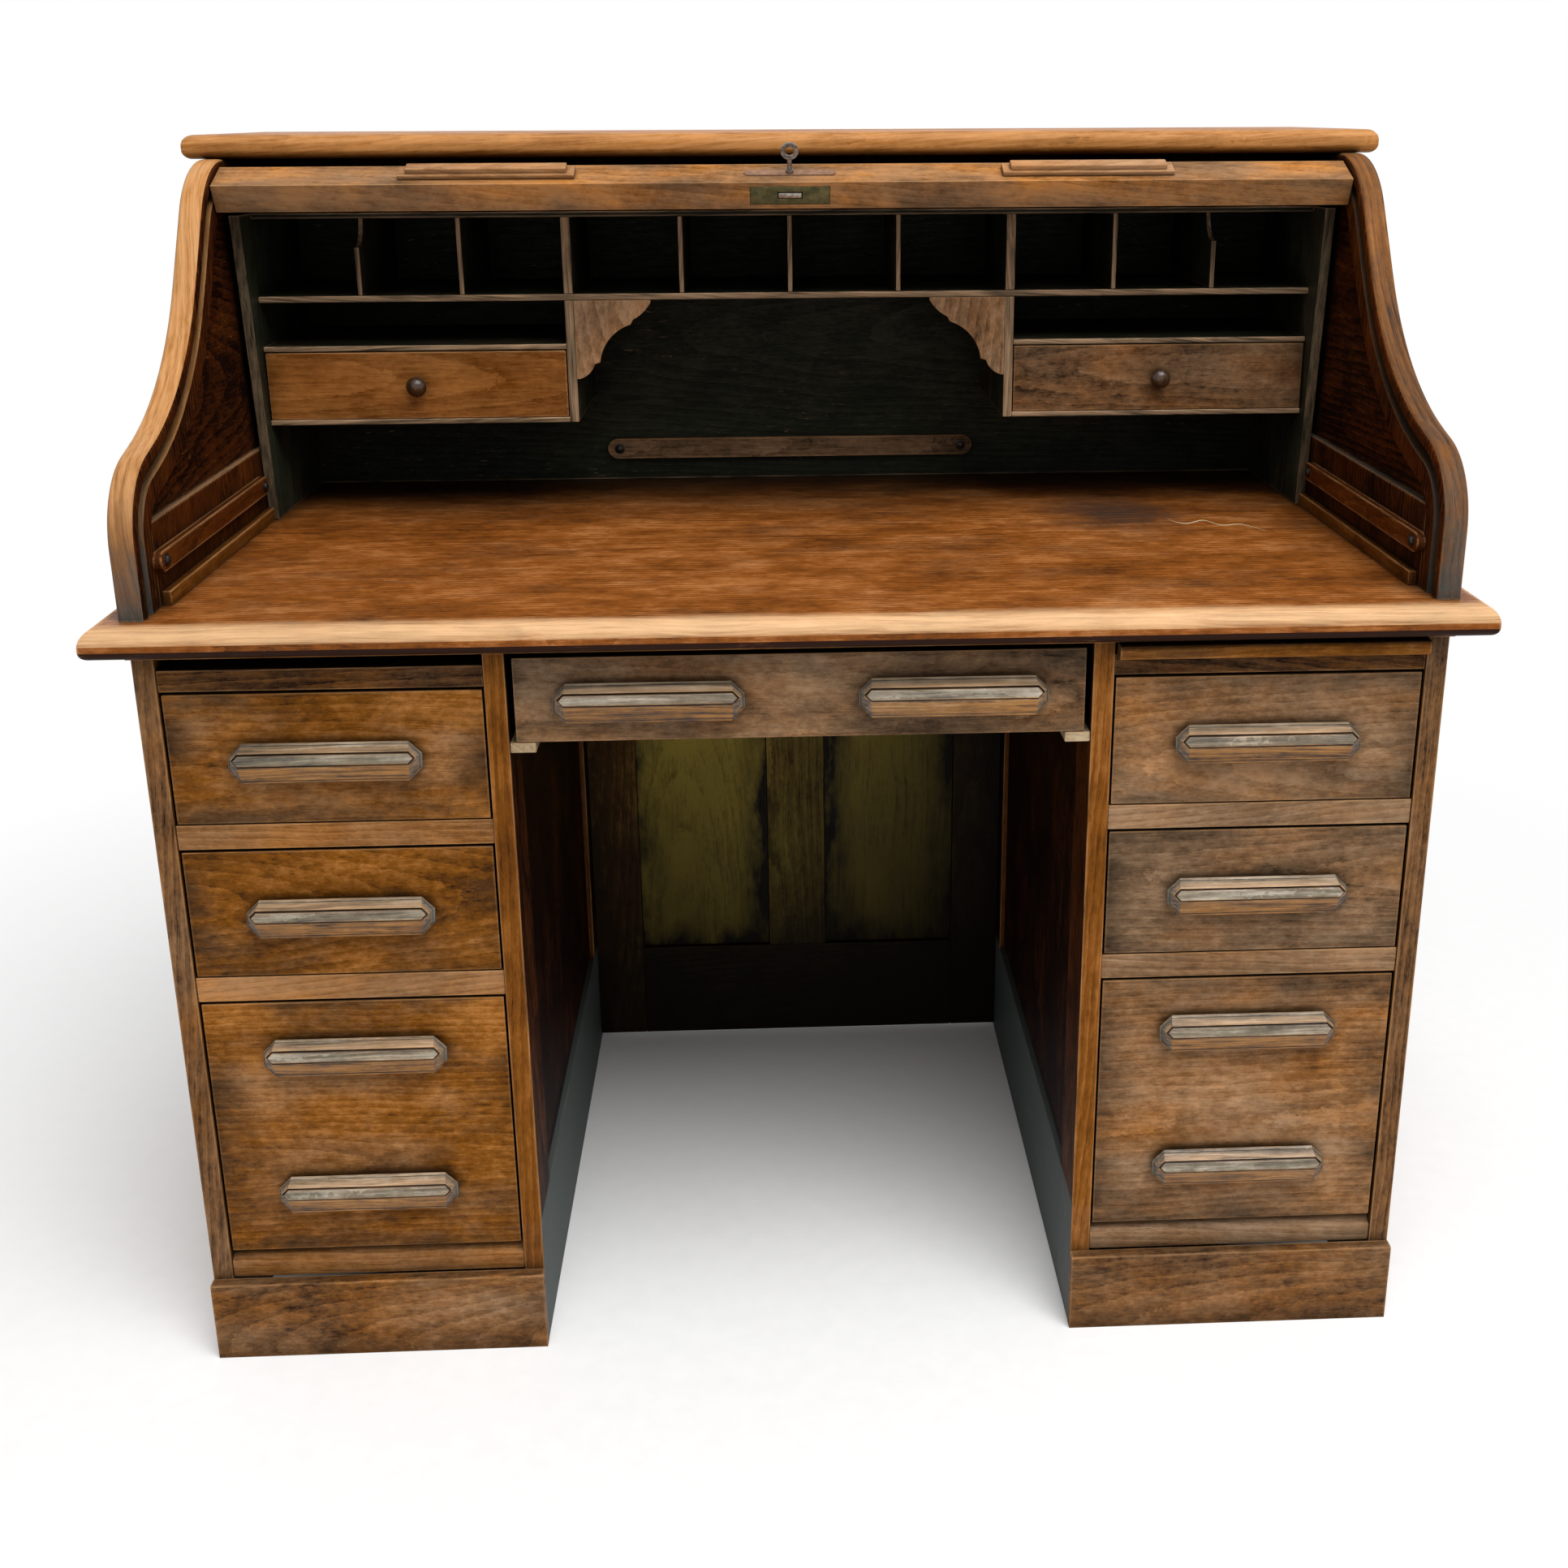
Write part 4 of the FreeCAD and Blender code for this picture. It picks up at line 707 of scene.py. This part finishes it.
def nose_paint(normal, place, low, high):
    """Rubbing and painted highlight on the upper half of a rounded front or side edge, and painted shade on
    its lower half.
    """
    if normal.z > NOSE_TURN:
        return {"rub_and_highlight": min(1.0, max(0.0, NOSE_RUB_AND_HIGHLIGHT * max(-normal.y, abs(normal.x))))}
    return {"tint": NOSE_SHADE} if normal.z < -NOSE_TURN else {}


def inside_paint(normal, place, low, high):
    """Rubbed front edges on the pigeonhole boards, whose dark colour is painted shade."""
    return {"rub_and_highlight": 1.0} if normal.y < -FACING else {}


def end_paint(normal, place, low, high):
    """Dull front edges on the leaning ends of the pigeonholes."""
    return {"rub_and_highlight": 0.40} if normal.y < -LEANING_TURN else {}


def thin_divider_paint(normal, place, low, high):
    """Rubbed front edges and fainter scoops on the thin dividers."""
    if normal.y < -FACING and place.z < SCOOP_FOOT:
        return {"rub_and_highlight": 1.0}
    if normal.y < -SCOOP_TURN and abs(place.x) > SCOOPED_PLACE:
        return {"rub_and_highlight": 0.5}
    return inside_paint(normal, place, low, high)


def board_nose_paint(normal, place, low, high):
    """Rubbing and painted highlight all over the rounded edge of the top board, but for its underside."""
    outward = max(-normal.y, abs(normal.x)) > ROUND_TURN
    return {"rub_and_highlight": 0.55} if outward and normal.z > -ROUND_TURN else {}


def inner_side_paint(normal, place, low, high):
    """Oak on the edges and inside the pedestals, and painted shade on the faces towards the kneehole, nearly
    black towards its rear.
    """
    if abs(normal.y) > FACING or normal.x * place.x > 0:
        return {"fade": 0.75, "tint": 0.50}
    return {"tint": 0.18} if high[Y] < 0 else {"tint": 0.0}


def modesty_paint(normal, place, low, high):
    """A lighter muntin, a black low rail, reddish stiles and a plain brown rear."""
    if normal.y > FACING:
        return MODESTY_REAR
    if high[X] - low[X] < MUNTIN_WIDTH and abs(high[X]) < MUNTIN_PLACE:
        return {"tint": 0.64, "fade": 0.20}
    return {"tint": 0.15} if high[Z] < LOW_RAIL_TOP else {"tint": 0.54, "fade": 0.55}


def modesty_panel_paint(normal, place, low, high):
    """Olive panels with a plain brown rear."""
    return MODESTY_REAR if normal.y > FACING else {}


def rail_paint(normal, place, low, high):
    """Painted shade on the topmost rails, under the writing top, and greyer rails on the right."""
    if low[Z] > TOP_RAIL_FOOT:
        return {"tint": 0.14, "fade": 0.3}
    return {"tint": 0.66, "fade": 0.8} if place.x > 0 else {}


# Drawer pulls: half length, lowest and highest point, depth at both, corner and rubbing with painted
# highlight of each ring
PULL_RINGS = (
    (0.0800, -0.0120, 0.0120, 0.0000, 0.0000, 0.0080, 0.0),
    (0.0800, -0.0120, 0.0120, 0.0030, 0.0030, 0.0080, 0.0),
    (0.0866, -0.0173, 0.0173, 0.0070, 0.0064, 0.0115, 0.0),
    (0.0875, -0.0180, 0.0180, 0.0085, 0.0072, 0.0120, 0.3),
    (0.0875, -0.0180, 0.0180, 0.0150, 0.0080, 0.0120, 0.3),
    (0.0864, -0.0160, 0.0166, 0.0158, 0.0098, 0.0104, 0.1),
    (0.0861, -0.0155, 0.0161, 0.0155, 0.0097, 0.0101, 0.0),
    (0.0857, -0.0148, 0.0154, 0.0163, 0.0112, 0.0097, 0.3),
    (0.0830, -0.0010, 0.0116, 0.0212, 0.0180, 0.0058, 0.9),
    (0.0819, -0.0001, 0.0105, 0.0204, 0.0163, 0.0050, 0.0),
    (0.0809, 0.0008, 0.0096, 0.0218, 0.0188, 0.0042, 0.3),
    (0.0801, 0.0015, 0.0089, 0.0220, 0.0193, 0.0035, 0.3),
)

# The rings at which a groove starts or goes on
GROOVE_RINGS = (5, 8, 9)

# The looks of a pull's eight sides, going round from its right end, and of its grooves and its front; the
# grey of its top and front is a painted reflection
PULL_END = {"tint": 0.20, "fade": 0.9, "dust": 1.0}
PULL_CHAMFER = {"tint": 0.34, "fade": 0.9, "dust": 0.70}
PULL_TOP = {"tint": 0.52, "fade": 1.0, "dust": 0.05}
PULL_BOTTOM = {"tint": 0.36, "fade": 0.0}
PULL_UNDER = {"tint": 0.20, "fade": 0.30, "dust": 0.30}
PULL_SIDES = (PULL_END, PULL_CHAMFER, PULL_TOP, PULL_CHAMFER, PULL_END, PULL_UNDER, PULL_BOTTOM, PULL_UNDER)
PULL_GROOVE = {"tint": -0.2, "fade": 0.5}
PULL_FRONT = {"tint": 0.56, "fade": 1.0, "dust": 0.08}

# The half size of a piece that has no edges of its own to rub
NO_EDGES = (1.0, 1.0, 1.0)


def pull_ring(length, low, high, corner):
    """The eight corners of a ring, going round from the right."""
    return [
        (length, low + corner), (length, high - corner), (length - corner, high), (corner - length, high),
        (-length, high - corner), (-length, low + corner), (corner - length, low), (length - corner, low),
    ]


def pull(draft, middle, shift):
    """One moulded bar pull, ring by ring from the drawer's front out."""
    first = len(draft.points)
    count = len(PULL_SIDES)
    for length, low, high, low_depth, high_depth, corner, rub_and_highlight in PULL_RINGS:
        for across, up in pull_ring(length, low, high, corner):
            depth = low_depth + (high_depth - low_depth) * (up - low) / (high - low)
            place = (middle[X] + across, middle[Y] - depth, middle[Z] + up)
            board = (across + shift[0], up + shift[1], depth + shift[2])
            draft.point(place, board, (across, up, depth), NO_EDGES)
    rubs_and_highlights = [ring[-1] for ring in PULL_RINGS]
    for ring in range(len(PULL_RINGS) - 1):
        near = first + ring * count
        for side, look in enumerate(PULL_SIDES):
            look = PULL_GROOVE if ring in GROOVE_RINGS else look
            follow = (side + 1) % count
            corners = (near + side, near + count + side, near + count + follow, near + follow)
            worn_and_lit = (rubs_and_highlights[ring], rubs_and_highlights[ring + 1], rubs_and_highlights[ring + 1], rubs_and_highlights[ring])
            draft.face(corners, [dict(look, rub_and_highlight=rub_and_highlight) for rub_and_highlight in worn_and_lit])
    last = first + (len(PULL_RINGS) - 1) * count
    draft.face([first + side for side in range(count)], [PULL_END] * count)
    draft.face([last + side for side in reversed(range(count))], [PULL_FRONT] * count)


def pulls(node):
    """The moulded bar pulls of one drawer, at the places of the CAD pulls."""
    draft = Draft()
    dice = random.Random(node)
    for loops in boards_of(node):
        low, high = box_of([place for loop in loops for place in loop])
        middle = ((low[X] + high[X]) / 2, high[Y], (low[Z] + high[Z]) / 2)
        pull(draft, middle, cut_from_tree(dice, PULL_SHIFT, PULL_HEART))
    draft.finish(node + ".carved", frame["nodes"][node]["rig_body"], "carved_pull", stands_for=[node])


# The pale scratch on the writing top: its bends and its half width there, in metres, and steps between bends
SCRATCH = (
    (0.4116, 0.0787, 0.0006), (0.4117, 0.0219, 0.0014), (0.4267, 0.0014, 0.0022), (0.4481, 0.0156, 0.0026),
    (0.4626, -0.0086, 0.0024), (0.4855, -0.0063, 0.0022), (0.5034, -0.0378, 0.0008),
)
SCRATCH_STEPS = 4

# Its filling: how deep it lies and how proud it stands, in metres, and the share of its width at its top
SCRATCH_DEEP = 0.0005
SCRATCH_PROUD = 0.00015
SCRATCH_TOP = 0.6
SCRATCH_LOOK = {"tint": 0.75}


def scratch_path():
    """The bends of the scratch joined by soft curves."""
    bends = [Vector(bend) for bend in SCRATCH[:1] + SCRATCH + SCRATCH[-1:]]
    path = []
    for before, start, end, after in zip(bends, bends[1:], bends[2:], bends[3:]):
        for step in range(SCRATCH_STEPS):
            part = step / SCRATCH_STEPS
            bow = part * (1 - part) / 2
            path.append(start.lerp(end, part) + bow * (1 - part) * (2 * start - before - end)
                        + bow * part * (2 * end - start - after))
    return path + bends[-1:]


def scratch():
    """A ragged pale scratch, laid in the writing top and just proud of it."""
    surface = max(place[Z] for loops in boards_of("writing_top") for loop in loops for place in loop)
    path = scratch_path()
    draft = Draft()
    for x, y, width in path:
        top = SCRATCH_TOP * width
        corners = (
            (-width, -SCRATCH_DEEP), (width, -SCRATCH_DEEP), (top, SCRATCH_PROUD), (-top, SCRATCH_PROUD),
        )
        for across, up in corners:
            draft.point((x, y + across, surface + up), (x, across, up), (0.0, 0.0, 0.0), NO_EDGES)
    draft.skin(0, len(path), len(corners), SCRATCH_LOOK)
    draft.finish("writing_top.scratch", frame["nodes"]["writing_top"]["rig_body"], "pale_oak")


# Round heads of the screws in the bill rails: radius and height of each ring, sides, and inset, in metres
HEAD_RINGS = (
    (0.0060, -0.0005), (0.0060, 0.0007), (0.0053, 0.0012), (0.0046, 0.0012), (0.0042, 0.0022),
    (0.0029, 0.0032), (0.0012, 0.0037),
)
HEAD_SIDES = 20
HEAD_INSET = 0.014


def screw_head(draft, place, outward):
    """One round head on a rail's face, turned to face outward."""
    turn = outward.to_track_quat("Z", "X").to_matrix()
    first = len(draft.points)
    for radius, height in HEAD_RINGS:
        for side in range(HEAD_SIDES):
            angle = 2 * math.pi * side / HEAD_SIDES
            spot = Vector((radius * math.cos(angle), radius * math.sin(angle), height))
            draft.point(place + turn @ spot, spot, spot, NO_EDGES)
    draft.skin(first, len(HEAD_RINGS), HEAD_SIDES, {})


def screw_heads(node, axis, along):
    """Heads near both ends of each board of a rail, on the face towards the middle of the desk."""
    draft = Draft()
    for loops in boards_of(node):
        low, high = map(Vector, box_of([place for loop in loops for place in loop]))
        for end in (low[along] + HEAD_INSET, high[along] - HEAD_INSET):
            place = (low + high) / 2
            outward = Vector((0.0, 0.0, 0.0))
            outward[axis] = -1.0 if place[axis] > 0 else 1.0
            place[axis] = low[axis] if place[axis] > 0 else high[axis]
            place[along] = end
            screw_head(draft, place, outward)
    draft.finish(node + ".screws", frame["nodes"][node]["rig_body"], "dark_iron")


# How grey and how light the drawer fronts are, and how soiled
FRONTS = {
    "left_drawer_1": (0.05, 0.60), "left_drawer_2": (0.05, 0.44), "left_drawer_3": (0.10, 0.55),
    "centre_drawer": (0.90, 0.53), "right_drawer_1": (0.65, 0.66), "right_drawer_2": (0.90, 0.55),
    "right_drawer_3": (0.55, 0.58),
}
FRONT_SOIL = 0.9

# How far the tambour's lead rail leans back, in degrees
LEAD_TILT = 24.0

# How each other node is dressed, where it differs from the plain way
GABLE_FRAME = {"material": "red_oak", "eased": 0.0, "along": Z, "curved": True, "paint": gable_paint}
LOOKS = {
    "writing_top": {"material": "top_oak", "tint": 0.52, "paint": nose_paint},
    "gable_panels": {"material": "red_oak", "tint": 0.12, "paint": gable_panel_paint},
    "gable_slips": {"material": "red_oak", "tint": 0.50, "fade": 0.6},
    "left_gable_frame": GABLE_FRAME,
    "right_gable_frame": GABLE_FRAME,
    "modesty_frame": {"material": "knee_oak", "paint": modesty_paint},
    # The modesty panels' darkened borders are painted shade cast by the frame round them
    "modesty_panels": {"material": "knee_oak", "tint": 0.98, "soil_and_shade": 1.7, "paint": modesty_panel_paint},
    "inner_side_frames": {"material": "red_oak", "tint": 0.34, "paint": inner_side_paint},
    # The inner side panels are darkened as painted shade in the kneehole
    "inner_side_panels": {"material": "red_oak", "tint": 0.04},
    "left_small_drawer": {"material": "red_oak", "tint": 0.74, "fade": 0.45, "soil_and_shade": 0.5},
    "right_small_drawer": {"material": "front_oak", "tint": 0.33, "fade": 0.60, "soil_and_shade": 0.4},
    "drawer_rails": {"tint": 0.74, "fade": 0.35, "soil_and_shade": 0.3, "paint": rail_paint},
    "outer_side_frames": {"tint": 0.46, "fade": 0.20, "paint": outer_frame_paint},
    "outer_side_panels": {"tint": 0.46, "fade": 0.20},
    "plinths": {"material": "front_oak", "tint": 0.45, "fade": 0.45, "soil_and_shade": 0.4},
    "top_board": {"material": "red_oak", "tint": 0.78, "fade": 0.70, "paint": board_nose_paint},
    "tambour_lead_rail": {
        "material": "front_oak", "tint": 0.88, "fade": 0.38, "soil_and_shade": 0.8, "tilt": LEAD_TILT,
    },
    "tambour_pulls": {"tint": 0.80, "fade": 0.55, "tilt": LEAD_TILT},
    "tambour_escutcheon": {"material": "bronze"},
    "back_bill_rail": {"material": "oak", "tint": 0.40, "fade": 1.5},
    "interior_back": {"tint": 0.60, "fade": -0.2},
    "gable_bill_rails": {"material": "red_oak", "tint": 0.36},
    "pigeonhole_brackets": {"material": "front_oak", "fade": 0.9, "tint": 0.56},
    "pigeonhole_lower_boards": {"paint": inside_paint},
    "pigeonhole_shelf": {"paint": inside_paint},
    "pigeonhole_ends": {"along": Z, "tint": 0.75, "paint": end_paint},
    "pigeonhole_main_dividers": {"along": Z, "paint": inside_paint},
    "pigeonhole_thin_dividers": {"along": Z, "paint": thin_divider_paint},
}


def dress_all():
    """Every node in its own look, and the small marks and fasteners that are no nodes."""
    for node in frame["nodes"]:
        if node in FRONTS:
            fade, tint = FRONTS[node]
            dress(node, fade=fade, soil_and_shade=FRONT_SOIL, tint=tint, material="front_oak")
        elif "drawer" in node and node.endswith(("_pull", "_pulls")):
            pulls(node)
        else:
            dress(node, **LOOKS.get(node, {}))
    scratch()
    screw_heads("back_bill_rail", axis=Y, along=X)
    screw_heads("gable_bill_rails", axis=X, along=Y)


# Stage


def camera():
    """A camera at the place, turn and framing of the photograph's."""
    yaw, pitch, roll = (math.radians(angle) for angle in (CAMERA_YAW, CAMERA_PITCH, CAMERA_ROLL))
    ahead = Vector((math.sin(yaw) * math.cos(pitch), math.cos(yaw) * math.cos(pitch), -math.sin(pitch)))
    level = Vector((math.cos(yaw), -math.sin(yaw), 0.0))
    upright = level.cross(ahead)
    right = math.cos(roll) * level + math.sin(roll) * upright
    up = -math.sin(roll) * level + math.cos(roll) * upright
    turn = Matrix((right, up, -ahead)).transposed()
    data = bpy.data.cameras.new("photo_camera")
    data.sensor_width = SENSOR
    data.lens = SENSOR * FOCAL_PIXELS / PICTURE
    data.shift_x = (PICTURE / 2 - CENTRE_PIXEL[0]) / PICTURE
    data.shift_y = (CENTRE_PIXEL[1] - PICTURE / 2) / PICTURE
    made = bpy.data.objects.new("photo_camera", data)
    made.matrix_world = Matrix.Translation(CAMERA_PLACE) @ turn.to_4x4()
    bpy.context.scene.collection.objects.link(made)
    bpy.context.scene.camera = made


def softbox():
    """One large square lamp above and in front of the desk."""
    data = bpy.data.lights.new("softbox", "AREA")
    data.shape = "SQUARE"
    data.size = LAMP_SIZE
    data.energy = LAMP_POWER
    made = bpy.data.objects.new("softbox", data)
    made.location = LAMP_PLACE
    ahead = Vector(LAMP_TARGET) - Vector(LAMP_PLACE)
    made.rotation_euler = ahead.to_track_quat("-Z", "Y").to_euler()
    bpy.context.scene.collection.objects.link(made)


def floor_material():
    """White that keeps the shadow near the desk and runs out into plain white."""
    shader = Shader("studio_floor")
    place = shader.place()
    speckle = shader.noise(place, FLOOR_SPECKLE)
    colour = shader.mix(shader.remap(speckle, 0.3, 0.7), FLOOR_DULL, FLOOR_BRIGHT)
    material = shader.finish(colour, 0.9, shader.bump(speckle, 0.02, 0.001), **{"Specular IOR Level": 0.0})
    far = shader.vector("LENGTH", place, output="Value")
    path = shader.node("ShaderNodeLightPath").outputs
    seen = path["Is Camera Ray"]
    for ray in ("Is Glossy Ray", "Is Transmission Ray"):
        seen = shader.math("MAXIMUM", seen, path[ray])
    away = shader.times(shader.remap(far, FLOOR_NEAR, FLOOR_FAR), seen)
    white = shader.node("ShaderNodeEmission", {"Color": rgba(WHITE), "Strength": 1.0})
    both = shader.node("ShaderNodeMixShader", {0: away, 1: shader.surface.outputs[0], 2: white.outputs[0]})
    shader.feed(shader.tree.nodes["Material Output"].inputs["Surface"], both.outputs[0])
    return material


def floor():
    """A wide square floor under the desk."""
    mesh = bpy.data.meshes.new("studio_floor")
    reach = FLOOR_REACH
    corners = [(-reach, -reach, 0.0), (reach, -reach, 0.0), (reach, reach, 0.0), (-reach, reach, 0.0)]
    mesh.from_pydata(corners, [], [(0, 1, 2, 3)])
    mesh.materials.append(floor_material())
    made = bpy.data.objects.new("studio_floor", mesh)
    bpy.context.scene.collection.objects.link(made)


def surroundings():
    """A white world to look at, and a dimmer one to light the room."""
    world = bpy.data.worlds.new("studio")
    world.use_nodes = True
    bpy.context.scene.world = world
    tree = world.node_tree
    path = tree.nodes.new("ShaderNodeLightPath").outputs
    seen = path["Is Camera Ray"]
    for ray in ("Is Glossy Ray", "Is Transmission Ray"):
        either = tree.nodes.new("ShaderNodeMath")
        either.operation = "MAXIMUM"
        tree.links.new(seen, either.inputs[0])
        tree.links.new(path[ray], either.inputs[1])
        seen = either.outputs["Value"]
    strength = tree.nodes.new("ShaderNodeMapRange")
    strength.inputs["To Min"].default_value = WORLD_LIGHT
    strength.inputs["To Max"].default_value = 1.0
    tree.links.new(seen, strength.inputs["Value"])
    back = tree.nodes["Background"]
    back.inputs["Color"].default_value = rgba(WHITE)
    tree.links.new(strength.outputs["Result"], back.inputs["Strength"])


def stage():
    """The camera, the floor, the world and the lamp."""
    bpy.context.scene.view_settings.view_transform = "Standard"
    camera()
    floor()
    surroundings()
    softbox()


dress_all()
stage()
